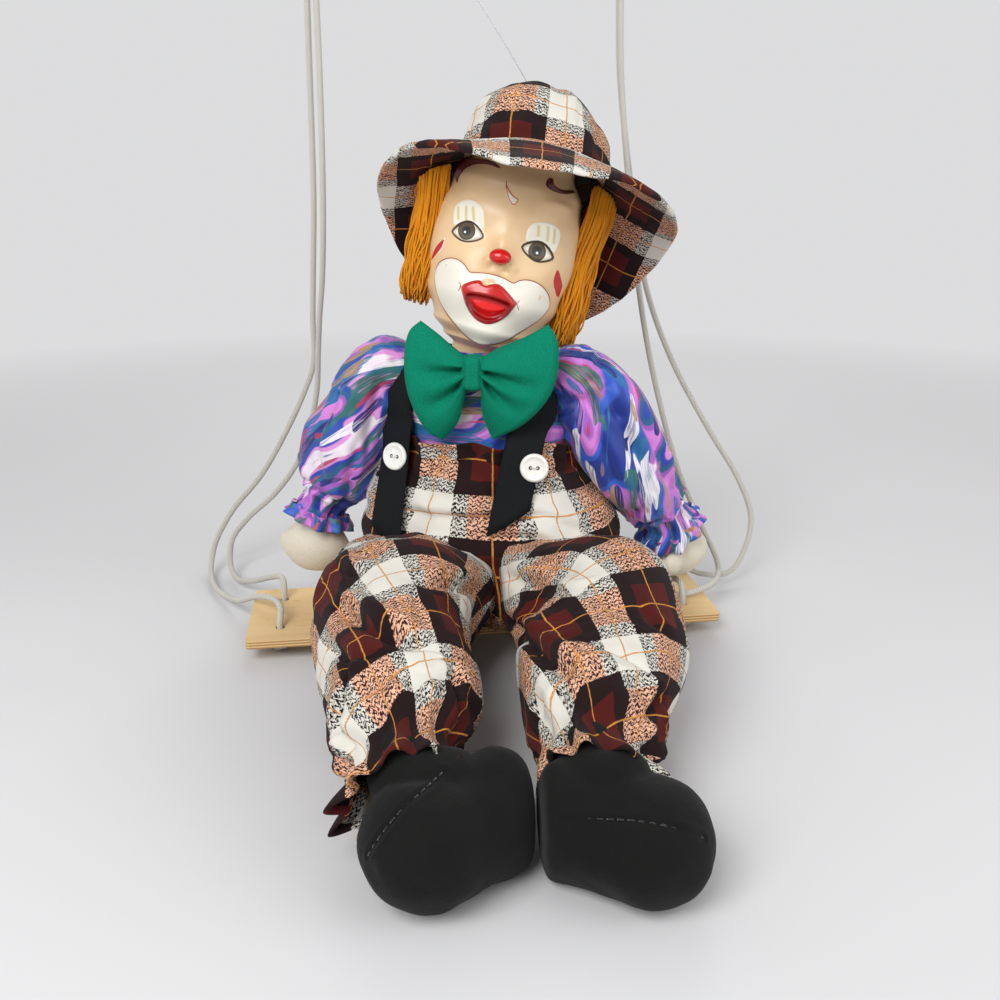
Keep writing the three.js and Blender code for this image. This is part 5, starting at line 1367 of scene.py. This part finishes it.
def shirt_piece():
    """The shirt's body, from inside the trousers up to the neck, where it leans with the head."""
    levels = np.concatenate([np.linspace(62, 120, 60), np.linspace(121, 138, 30)])
    keys = [(60, 41, 27), (84, 43, 28.5), (100, 43.5, 28.5), (118, 43, 28), (127, 38, 25), (133, 27, 19),
            (137, 15.5, 14.5), (139, 14, 13.5)]
    rings, angle = trunk_rings(levels, keys)
    for i, z in enumerate(levels):
        fold = (creased(z / 90, angle, 4.2, 0.9) + 0.6 * np.sin(9 * angle + z * 0.1)) * smooth(-z, -134, -124)
        rings[i] += outward_of(rings[i]) * fold[:, None]
        lean = smooth(z, 120, 138)
        rings[i] += (NECK + TURN[:, 2] * (z - 129) - A(-1, 0, z)) * lean * 0.8
    shirt = capped("shirt_cloth", rings, PRINT, 2 * np.pi * 37, levels, caps=(True, True))
    return dress(shirt, TRUNK, "shirt", slot="print_cloth", fill=0.6)


shirt = shirt_piece()

_levels = np.linspace(67, 128, 16)
_rings, _ = trunk_rings(_levels, [(67, 26, 16), (76, 37, 22), (112, 38, 23), (124, 32, 19), (128, 12, 8)], 40)
body = capped("stuffed_body_calico", _rings, CALICO, 200, _levels)
dress(body, TRUNK, "stuffed_body", slot="body_cloth", fill=0.7)

_levels = np.array([-9, -8, -5, 0, 5, 8, 14, 24, 32, 33])
_wide = np.array([1, 5, 9, 9.6, 9, 8.6, 8.4, 8.4, 7, 2])
_angle = all_round(32)
_rings = np.array([np.column_stack([r * np.cos(_angle), r * np.sin(_angle), np.full(32, z - 5.0)])
                   for z, r in zip(_levels, _wide)])
plug = capped("neck_plug_calico", from_head(_rings), CALICO, 55, _levels.astype(float))
dress(plug, "neck", "neck_plug", slot="body_cloth", fill=0.7)

# ---- Sleeves, ruffles and mitts
# Places of the joints, palm and thumb's tip, the puff's radius and the direction toward the trunk
ARMS = {
    "right": dict(shoulder=A(-43, 13, 123), elbow=A(-60.5, 19, 90), wrist=A(-77, 24, 57), palm=A(-81, 22, 38),
                  thumb=A(-99, 24, 42), puff=21.5, seed=0.4, inward=A(1, 0, 0)),
    "left": dict(shoulder=A(43, -19, 123), elbow=A(65, -18, 88), wrist=A(90, -8, 53), palm=A(96.5, -3, 34.5),
                 thumb=A(87, -19, 32), puff=18.5, seed=2.2, inward=A(-1, 0, 0)),
}
SLEEVE_CREASES = {
    "right": [([(385, 373), (374, 410), (366, 455)], 2.4, 2.0), ([(342, 372), (328, 415), (314, 452)], 2.4, 2.0),
              ([(358, 430), (352, 470), (341, 506)], 2.6, 1.8), ([(312, 482), (321, 506)], 1.6, 1.2),
              ([(332, 478), (334, 508)], 1.8, 1.3), ([(322, 430), (318, 455), (322, 478)], 1.8, 1.8)],
    "left": [([(602, 372), (617, 412), (640, 466)], 2.6, 2.0), ([(586, 402), (603, 450), (622, 498)], 2.4, 2.0),
             ([(634, 402), (657, 448), (672, 494)], 2.4, 2.0), ([(634, 506), (645, 532)], 1.8, 1.3),
             ([(659, 498), (670, 524)], 1.8, 1.3), ([(645, 470), (655, 500)], 1.6, 1.4)],
}


def sleeve_piece(name, arm):
    """A puffed sleeve with its gathered ruffle, in one skin."""
    shoulder, elbow, wrist = arm["shoulder"], arm["elbow"], arm["wrist"]
    inward = unit(shoulder - elbow)
    down = unit(arm["palm"] - wrist)
    path = [shoulder + inward * 12 + arm["inward"] * 12, shoulder, elbow, wrist * 0.85 + elbow * 0.15, wrist + down,
            wrist + down * 10]
    puff = arm["puff"]
    radii = keyed([(0, 10, 10), (0.14, 16, 16), (0.3, 18.5, 18.5), (0.55, puff, puff), (0.7, puff - 3, puff - 3),
                   (0.8, 14, 14), (0.865, 10.6, 10.6), (0.89, 10.4, 10.4), (1, 16.5, 16.5)])

    def fold(t, angle):
        gather = smooth(t, 0.6, 0.85)
        return (creased(0.35 * t, 1.5 * angle + 2 * t, arm["seed"], 0.085) * (1 - gather) * smooth(t, 0.05, 0.2)
                + 0.1 * gather * np.sin(10 * angle + 3 * t) + 0.15 * smooth(t, 0.9, 1.0) * np.sin(10 * angle + 0.6))

    rings, lengths = soft_rings(path, radii, A(0, 1, 0), 96, 110, (0.1, 0), fold)
    n, m = rings.shape[:2]
    share = np.arange(n) / n
    pinned = np.repeat(np.maximum(smooth(-share, -0.14, -0.03), smooth(share, 0.8, 0.86)), m)
    flat = draped(rings, pinned, SLEEVE_CREASES[name], grow=0.06, frames=10, cap=2.5, bend=0.05)
    rings = flat.reshape(n, m, 3)
    outer = np.clip((rings - rings.mean(1, keepdims=True)) @ -arm["inward"], 0, None)
    rings[:, :, 2] += 0.32 * (outer * smooth(share, 0.84, 1.0)[:, None])
    rings = turned_in(rings, down, ((0.04, -0.3), (0.08, 0.5), (0.2, 6.0)))
    lengths = np.concatenate([lengths, lengths[-1] + A(1, 2, 8)])
    lengths += 60 * arm["seed"]
    sleeve = capped(f"sleeve_{name}_cloth", rings, PRINT, 2 * np.pi * 21, lengths, caps=(True, False))
    turned_cloth(sleeve, 62)
    outward = unit(elbow - shoulder)
    start = shoulder - outward * 6
    dress(sleeve, (TRUNK, f"arm_{name}", metres(start), metres(start + outward * 18)), f"sleeve_{name}",
          f"sleeve_ruffle_{name}", slot="print_cloth", fill=0.5)


def melded(name, parts, material, voxel, rounds):
    """Joins soft lumps, each an array of rings, into one skin with facets of a size in mm, smoothed in rounds."""
    pieces = [capped(name, rings, None) for rings in parts]
    points, faces = [], []
    for piece in pieces:
        base = len(points)
        points += [v.co[:] for v in piece.data.vertices]
        faces += [[base + k for k in f.vertices] for f in piece.data.polygons]
        data = piece.data
        bpy.data.objects.remove(piece)
        bpy.data.meshes.remove(data)
    mesh = bpy.data.meshes.new(name)
    mesh.from_pydata(points, [], faces)
    whole = bpy.data.objects.new(name, mesh)
    bpy.context.collection.objects.link(whole)
    remesh = whole.modifiers.new("remesh", "REMESH")
    remesh.mode = "VOXEL"
    remesh.voxel_size = voxel / 1000
    soften = whole.modifiers.new("soften", "SMOOTH")
    soften.factor, soften.iterations = 0.6, rounds
    shape = whole.evaluated_get(bpy.context.evaluated_depsgraph_get())
    whole.data = bpy.data.meshes.new_from_object(shape)
    whole.modifiers.clear()
    bpy.data.meshes.remove(mesh)
    whole.data.name = name
    whole.data.materials.clear()
    whole.data.materials.append(material)
    whole.data.shade_smooth()
    return whole


def move_points(piece, change):
    """Moves each point of a piece by a function of its places and normals, both in the modelling frame."""
    mesh = piece.data
    co = np.empty(len(mesh.vertices) * 3)
    mesh.vertices.foreach_get("co", co)
    normal = np.empty(len(mesh.vertices) * 3)
    mesh.vertices.foreach_get("normal", normal)
    places = co.reshape(-1, 3) * 1000 - SHIFT
    places = change(places, normal.reshape(-1, 3))
    mesh.vertices.foreach_set("co", metres(places).ravel())
    mesh.update()


def mitt_piece(name, arm):
    """A stuffed mitten with its thumb and the seam round both."""
    wrist, palm, thumb = arm["wrist"], arm["palm"], arm["thumb"]
    down = unit(palm - wrist)
    hand_rings, _ = soft_rings([wrist - down * 6, wrist + down * 6, palm, palm + down * 14],
                               keyed([(0, 7, 7), (0.3, 10, 9), (0.65, 17, 12), (1, 14.5, 10.5)]), A(1, 0, 0), 40, 40,
                               (0.1, 0.3))
    thumb_rings, _ = soft_rings([palm - down * 4, palm * 0.4 + thumb * 0.6, thumb],
                                keyed([(0, 7.5, 7.5), (0.6, 7.4, 7.2), (1, 6.2, 5.6)]), A(0, 0, 1), 24, 24, (0.2, 0.35))
    mitt = melded(f"mitt_{name}", [hand_rings, thumb_rings], MITT, 0.9, 8)
    seam_side = unit(np.cross(down, thumb - palm))

    def shape(p, n):
        seam = np.abs((p - palm) @ seam_side)
        return p + n * (0.35 * wavy(p, 8)[:, None] - 0.45 * np.exp(-(seam / 0.7) ** 2)[:, None])

    move_points(mitt, shape)
    dress(mitt, f"mitt_{name}", f"hand_{name}", slot="mitt_cloth", fill=0.7)


for _name, _arm in ARMS.items():
    sleeve_piece(_name, _arm)
    mitt_piece(_name, _arm)

# ---- Stuffed shoes
# The pixels that each shoe's seam runs through
SEAMS = {
    "right": [(469, 749), (445, 770), (419, 794), (398, 814), (379, 838), (368, 856)],
    "left": [(536, 815), (560, 818), (600, 819), (637, 821), (670, 827), (704, 838)],
}


STITCH, STITCH_PITCH, STITCH_THICK = 1.9, 3.2, 0.26


def stitches(name, spots, body, slot):
    """A running stitch: short raised threads along a line of (place, direction outward)."""
    places = spline([s[0] for s in spots], 200)
    out = np.array([s[1] for s in spots])
    far = length_of(places)
    at = np.linspace(0, 1, len(spots))
    points, faces = [], []
    for start in np.arange(STITCH_PITCH / 2, far[-1] - STITCH, STITCH_PITCH):
        t = np.linspace(start, start + STITCH, 5)
        path = np.column_stack([np.interp(t, far, places[:, k]) for k in range(3)])
        up = unit([np.interp(start / far[-1], at, out[:, k]) for k in range(3)])
        path += up * (STITCH_THICK * A(-0.6, 0.5, 0.8, 0.5, -0.6))[:, None]
        _, side, rise = frames_along(path, up)
        rings = oval(path[:, None], side[:, None], rise[:, None], STITCH_THICK, STITCH_THICK, all_round(6))
        base = len(points)
        points.extend(rings.reshape(-1, 3))
        ends = [[base + k for k in range(6)][::-1], [base + 24 + k for k in range(6)]]
        faces += tube_faces(5, 6, offset=base) + ends
    thread = mesh_object(name, np.array(points), faces, None, DARK_THREAD)
    return dress(thread, body, slot=slot)


def shoe_piece(name, leg):
    """A stuffed shoe: sole and instep melded, with a sunk seam and its stitches."""
    heel, toe, ankle = leg["heel"], leg["toe"], leg["ankle"]
    reach = unit(A(*(toe - heel)[:2], 0))
    middle = (heel + toe) / 2
    middle[2] = 18
    radii = keyed([(0, 17, 17.5), (0.25, 19, 20.5), (0.48, 18.8, 19.2), (0.72, 20.6, 19.6), (1, 18.8, 17)])
    sole, _ = soft_rings([heel - reach * 18, heel, middle, toe, toe + reach * leg["reach"]], radii,
                         np.cross(A(0, 0, 1), reach), 64, 64, (0.26, 0.26))
    down = shin_way(leg)
    instep, _ = soft_rings([ankle - down * 6, ankle + down * 10, heel * 0.55 + toe * 0.45],
                           keyed([(0, 10, 10), (0.35, 13.5, 13), (0.65, 18, 17.5), (1, 20, 18)]), LEG_AXIS, 40, 30,
                           (0.1, 0.3))
    shoe = melded(f"shoe_{name}_stuffed", [sole, instep], BLACK, 1.0, 10)

    def divide(p, n):
        p = p + n * (0.8 * wavy(p, 15, leg["way"]) + 0.3 * wavy(p, 6))[:, None]
        p = own_side(p, leg["way"], 2.6)
        p[:, 2] = np.maximum(p[:, 2], 0.0)
        return p

    move_points(shoe, divide)
    line = spline([place for place, _ in met(tree_of(shoe), SEAMS[name])], 90)

    def groove(p, n):
        near = np.full(len(p), 99.0)
        for q in line:
            near = np.minimum(near, np.linalg.norm(p - q, axis=1))
        return p + n * (0.3 * np.exp(-((near - 1.8) / 1.0) ** 2) - 0.7 * np.exp(-(near / 0.8) ** 2))[:, None]

    move_points(shoe, groove)
    stitches(f"shoe_{name}_seam_stitches", met(tree_of(shoe), SEAMS[name]), f"foot_{name}", "black_cloth")
    dress(shoe, f"foot_{name}", f"shoe_{name}", slot="black_cloth", fill=0.75)


for _name, _leg in LEGS.items():
    shoe_piece(_name, _leg)

# ---- Straps and buttons
_trees = [tree_of(seat), tree_of(shirt)]


def over_body(place, toward):
    """The outermost place of the clothes on a line from far outside to a place."""
    best = None
    for tree in _trees:
        hit = tree.ray_cast(Vector(metres(place - toward * 200)), Vector(toward))
        if hit[0] is not None and (best is None or hit[3] < best[1]):
            best = (np.array(hit[0]) * 1000 - SHIFT, hit[3])
    return None if best is None else best[0]


# A strap runs round the trunk's middle, from its foot to its end, both as angles up from straight ahead. How far aside
# it lies is given at the foot and two places in front, then at the shoulder and two places behind.
STRAPS = {
    "right": dict(foot=-0.85, front=(-30, -30, -31), behind=(-29, -24, -15)),
    "left": dict(foot=-0.74, front=(25, 27, 30), behind=(29, 24, 15)),
}
STRAP_END = 3.35
TRUNK_MIDDLE = 104


def strap_piece(name, spec):
    """A strap laid on the clothes by rays from all round the trunk. Returns its places and their directions."""
    count, rows = 90, 9
    half, thick = 8.2, 1.1
    aim = np.linspace(spec["foot"], STRAP_END, count)
    offset = keyed(list(zip((spec["foot"], -0.2, 0.6, 1.4, 2.2, STRAP_END), spec["front"] + spec["behind"])))
    top = np.empty((count, rows, 3))
    for i, a in enumerate(aim):
        out = CHEST_AHEAD * math.cos(a) + A(0, 0, 1) * math.sin(a)
        for j, w in enumerate(np.linspace(-half, half, rows)):
            centre = CHEST_SIDE * (offset(a)[0] + w) + A(0, 0, TRUNK_MIDDLE)
            spot = over_body(centre, -out)
            top[i, j] = spot if spot is not None else centre + out * 20
    rough = top.copy()
    for _ in range(30):
        top[1:-1] = (top[:-2] + 2 * top[1:-1] + top[2:]) / 4
        top[:, 1:-1] = (top[:, :-2] + 2 * top[:, 1:-1] + top[:, 2:]) / 4
    n = np.cross(np.gradient(top, axis=1), np.gradient(top, axis=0))
    n /= np.linalg.norm(n, axis=2, keepdims=True)
    n *= np.sign(n[0, 4] @ CHEST_AHEAD)
    proud = ((rough - top) * n).sum(2)
    lift = A(*[max(proud[max(i - 3, 0):i + 4].max(), 0.4) for i in range(count)])
    lift = 1.4 + np.convolve(np.pad(np.minimum(lift, 3), 3, "edge"), np.ones(7) / 7, "valid")[:, None, None]
    upper, lower = top + n * (lift + thick), top + n * lift
    upper[:, 0] -= n[:, 0] * thick * 0.35
    upper[:, -1] -= n[:, -1] * thick * 0.35
    rings = np.concatenate([upper, lower[:, ::-1]], 1)
    strap = capped(f"strap_{name}_tape", rings, STRAP, 4 * half, length_of(top[:, 4]))
    dress(strap, TRUNK, f"strap_{name}", slot="black_braid")
    return upper[:, 1:-1].reshape(-1, 3), n[:, 1:-1].reshape(-1, 3)


straps = {name: strap_piece(name, spec) for name, spec in STRAPS.items()}


def button_piece(name, px, py):
    """A two-hole button on the place of its strap that lies nearest to a sight line."""
    places, outs = straps[name]
    away = places - EYE
    off = np.linalg.norm(away - (away @ sight(px, py))[:, None] * sight(px, py), axis=1)
    place, out = places[np.argmin(off)], outs[np.argmin(off)]
    out = unit(out * 0.5 + CHEST_AHEAD * 0.5)
    r, t = 6.35, 2.3
    well = t * 0.66
    profile = [(0.05, 0.1), (r - 0.9, 0), (r - 0.2, t * 0.2), (r, t * 0.5), (r - 0.25, t * 0.85), (r - 0.9, t),
               (r - 1.5, t * 0.98), (r - 2.1, t * 0.78), (r - 2.6, t * 0.7), (2.6, well), (1.2, well), (0.05, well)]
    side = unit(np.cross(A(0, 0, 1), out))
    rise = np.cross(out, side)
    rings = []
    for radius, height in profile:
        rings.append(oval(place, side, rise, radius, radius, all_round(72)) + out * (height + 0.35))
    disc = capped(f"button_{name}_pearl", np.array(rings), BUTTON)
    # The holes are not cut: flat dark discs on the button's well stand in for them as painted shade
    aside, hole = 1.6, 0.85
    shaded_holes, faces = [], []
    for sign in (-1, 1):
        base = len(shaded_holes)
        for a in all_round(24):
            shaded_holes.append(place + side * (sign * aside + hole * math.cos(a)) + rise * hole * math.sin(a)
                         + out * (well + 0.37))
        faces.append(list(range(base, base + 24)))
    hole_shade = mesh_object(f"button_{name}_holes", np.array(shaded_holes), faces, None, DARK_THREAD)
    dress(hole_shade, TRUNK, slot="button_plastic")
    dress(disc, TRUNK, f"button_{name}", slot="button_plastic")
    loop = spline([place + side * x + out * (well + z) for x, z in
                   ((-1.7, 0.1), (-1.3, 0.75), (0, 0.95), (1.3, 0.75), (1.7, 0.1))], 20)
    thread = cord_piece(f"button_{name}_thread", loop, 0.55, THREAD, 8)
    dress(thread, TRUNK, slot="button_plastic")


button_piece("right", 399, 456)
button_piece("left", 533, 467)

# ---- Bow tie
KNOT = A(-7.4, -34.6, 134)
BOW_OUT = unit(A(-0.21, -1, 0.0))


def on_bow(px, py):
    """The place where a sight line meets the bow's plane."""
    way = sight(px, py)
    return EYE + way * (((KNOT - EYE) @ BOW_OUT) / (way @ BOW_OUT))


# The pixels of each wing's upper, outer and lower edge, and where its pleats are between upper (0) and lower (1)
WINGS = {
    "right": dict(top=[(467, 356), (452, 345), (437, 333), (420, 321)],
                  edge=[(420, 321), (409, 331), (404, 350), (404, 378), (409, 400), (417, 418), (428, 433), (442, 441)],
                  foot=[(467, 388), (464, 402), (457, 424), (442, 441)], pleats=(0.36, 0.66)),
    "left": dict(top=[(482, 356), (500, 347), (525, 337), (548, 325)],
                 edge=[(548, 325), (556, 337), (559, 360), (554, 388), (542, 408), (521, 427), (492, 441)],
                 foot=[(482, 388), (481, 402), (484, 420), (492, 441)], pleats=(0.42, 0.66)),
}


def bow_wing(name, spec):
    """A pleated wing: a sheet between its traced edges, swollen in front, flat behind and closed round its rim."""
    rows, cols = 60, 80
    top, edge, foot = (spline([on_bow(*p) for p in spec[key]], count)
                       for key, count in (("top", rows), ("edge", cols), ("foot", rows)))
    root = np.linspace(0, 1, cols)[:, None] * (foot[0] - top[0]) + top[0]
    s, w = np.linspace(0, 1, rows)[:, None, None], np.linspace(0, 1, cols)[None, :, None]
    sheet = ((1 - s) * root[None] + s * edge[None] + (1 - w) * top[:, None] + w * foot[:, None]
             - ((1 - s) * (1 - w) * top[0] + s * (1 - w) * top[-1] + (1 - s) * w * foot[0] + s * w * foot[-1]))
    s, w = s[..., 0], w[..., 0]
    rim = np.minimum(np.minimum(w, 1 - w) / 0.1, (1 - s) / 0.1)
    rim = np.sqrt(np.clip(1 - (1 - np.clip(rim, 0, 1)) ** 2, 0, 1))
    swell = 6.0 * np.sin(np.pi * np.clip(w, 0.02, 0.98)) ** 0.6
    swell = swell * (0.55 + 0.45 * np.sin(np.pi * np.clip(s * 0.9 + 0.05, 0, 1)))
    crease = sum(np.exp(-((w - c - 0.04 * np.sin(3 * s)) / (0.05 + 0.05 * s)) ** 2) for c in spec["pleats"])
    swell = swell - crease * 6.8 * np.clip(1 - s * 1.15, 0, 1) ** 0.8
    swell = swell + 0.5 * wavy(sheet, 14, 2.0)
    lean = 4.5 * (s * 0.9 - 0.5)
    front = sheet + BOW_OUT * ((1.6 + swell) * rim - lean)[..., None]
    back = sheet + BOW_OUT * (-2.2 * rim - lean)[..., None]
    rings = np.concatenate([front, back[:, ::-1]], 1)
    n, m = rings.shape[:2]
    wide = np.concatenate([length_of(front[-1]), length_of(front[-1])[-1] + length_of(back[-1][::-1])])
    lengths = length_of(top)
    i, k = np.meshgrid(np.arange(n - 1), np.arange(m), indexing="ij")
    uv = np.stack([np.stack([np.append(wide, wide[-1] + 1)[a], lengths[b]], -1)
                   for a, b in ((k, i), (k + 1, i), (k + 1, i + 1), (k, i + 1))], -2).reshape(-1, 2)
    points = np.vstack([rings.reshape(-1, 3), rings[0].mean(0), rings[-1].mean(0)])
    faces = tube_faces(n, m)
    extra = []
    for ring, tip in ((0, n * m), (n - 1, n * m + 1)):
        for j in range(m):
            faces.append([tip, ring * m + (j + 1) % m, ring * m + j])
            extra += [(0, 0)] * 3
    wing = mesh_object(f"bow_wing_{name}_knit", points, faces, np.vstack([uv, extra]), KNIT)
    dress(wing, TRUNK, f"bow_wing_{name}", slot="green_ribbon", fill=0.5)


for _name, _spec in WINGS.items():
    bow_wing(_name, _spec)


def bow_knot():
    """The knot between the wings, ribbed along its length."""
    rows, m = 40, 90
    angle = all_round(m)
    up, side = A(0.03, 0.05, 1.0), unit(np.cross(BOW_OUT, A(0, 0, 1)))
    rings = []
    for i in range(rows):
        t = i / (rows - 1) * 2 - 1
        edge = math.sqrt(max(1 - abs(t) ** 8, 0.02))
        waist = 1 - 0.14 * (1 - t * t)
        fold = 1 + 0.05 * np.sin(7 * angle + 0.6) * (0.6 + 0.4 * t * t) + 0.03 * np.sin(13 * angle)
        middle = KNOT + BOW_OUT * 2.5 + up * (t * 7.6 - 0.2)
        rings.append(oval(middle, side, BOW_OUT, 5.9 * edge * waist * fold, 6.8 * edge * fold, angle))
    knot = capped("bow_knot_knit", np.array(rings), KNIT, 42, np.linspace(0, 20, rows))
    dress(knot, TRUNK, "bow_knot", slot="green_ribbon", fill=0.6)


bow_knot()

# ---- The clear line at the hat
LINE_MM = 0.55
_foot = from_hat(A(-1, -1, CROWN_FOOT + CROWN_RISE - 0.1))
_top = A(-2, 9, 288)
_path = spline([_foot, (_foot + _top) / 2 + A(0.6, 0, 0), _top], 60)
line = dress(cord_piece("head_line_nylon", _path, LINE_MM, LINE, 8), HEAD, "head_line", slot="clear_line")
_t = np.linspace(0, 2 * np.pi, 40)
_end = unit(_path[-1] - _path[-2])
_out = unit(np.cross(_end, A(0, 1, 0)))
_ring = _path[-1] + _end * 3 + (_out * (3 * np.sin(_t))[:, None] - _end * (3 * np.cos(_t))[:, None])
loop = dress(cord_piece("head_line_end_loop", _ring, 0.7, LINE, 8), HEAD, "head_line_loop", slot="clear_line")

# ---- Floor, backdrop and light
BACKDROP = (0.72, 0.72, 0.73, 1)


def looked_at(nodes, links):
    """1 for what the camera sees, also in a reflection or through clear line; 0 for the light that things get."""
    path = nodes.new("ShaderNodeLightPath")
    total = path.outputs["Is Camera Ray"]
    for kind in ("Is Glossy Ray", "Is Transmission Ray"):
        either = nodes.new("ShaderNodeMath")
        either.operation = "MAXIMUM"
        links.new(total, either.inputs[0])
        links.new(path.outputs[kind], either.inputs[1])
        total = either.outputs[0]
    return total


def floor_material():
    """Takes the doll's shadow, and passes into the backdrop's tone further off."""
    p = Paint("floor", 0.9, Specular_IOR_Level=0.1)
    p.set("Base Color", p.mix(p.noise((3, 3, 3), uv=False), (0.62, 0.62, 0.63, 1), (0.66, 0.66, 0.67, 1)))
    nodes, links = p.material.node_tree.nodes, p.material.node_tree.links
    away = p.node("VectorMath", {0: p.place((1, 1, 1), uv=False)}, operation="LENGTH").outputs["Value"]
    share = p.times(p.span(away, 0.3, 1.1), looked_at(nodes, links))
    glow, mix = nodes.new("ShaderNodeEmission"), nodes.new("ShaderNodeMixShader")
    glow.inputs["Color"].default_value = BACKDROP
    links.new(share, mix.inputs[0])
    links.new(nodes["Principled BSDF"].outputs[0], mix.inputs[1])
    links.new(glow.outputs[0], mix.inputs[2])
    links.new(mix.outputs[0], nodes["Material Output"].inputs["Surface"])
    return p.material


floor = bpy.data.objects.new("floor", bpy.data.meshes.new("floor"))
floor.data.from_pydata([(-9, -9, -0.0008), (9, -9, -0.0008), (9, 9, -0.0008), (-9, 9, -0.0008)], [], [(0, 1, 2, 3)])
bpy.context.collection.objects.link(floor)
floor.data.materials.append(floor_material())

world = bpy.data.worlds.new("world")
bpy.context.scene.world = world
world.use_nodes = True
_tree = world.node_tree
_ground = _tree.nodes["Background"]
_seen = _tree.nodes.new("ShaderNodeBackground")
_seen.inputs["Color"].default_value = BACKDROP
_ground.inputs["Color"].default_value = (1, 1, 1, 1)
_ground.inputs["Strength"].default_value = 0.42
_mix = _tree.nodes.new("ShaderNodeMixShader")
_tree.links.new(looked_at(_tree.nodes, _tree.links), _mix.inputs[0])
_tree.links.new(_ground.outputs[0], _mix.inputs[1])
_tree.links.new(_seen.outputs[0], _mix.inputs[2])
_tree.links.new(_mix.outputs[0], _tree.nodes["World Output"].inputs["Surface"])

# Each lamp's place and aim in mm, its size in m and its power in W
for _name, _at, _aim, _size, _power in (
    ("key", (-380, -620, 620), (0, -40, 90), 0.45, 6.0),
    ("fill", (560, -500, 420), (0, -40, 90), 0.6, 2.4),
    ("back", (120, 560, 620), (0, 0, 120), 0.6, 2.4),
):
    _data = bpy.data.lights.new(_name, "AREA")
    _data.size, _data.energy = _size, _power
    _lamp = bpy.data.objects.new(_name, _data)
    _lamp.location = metres(_at)
    _lamp.rotation_euler = (Vector(metres(_aim)) - Vector(metres(_at))).to_track_quat("-Z", "Y").to_euler()
    bpy.context.collection.objects.link(_lamp)
bpy.context.scene.view_settings.view_transform = "Standard"
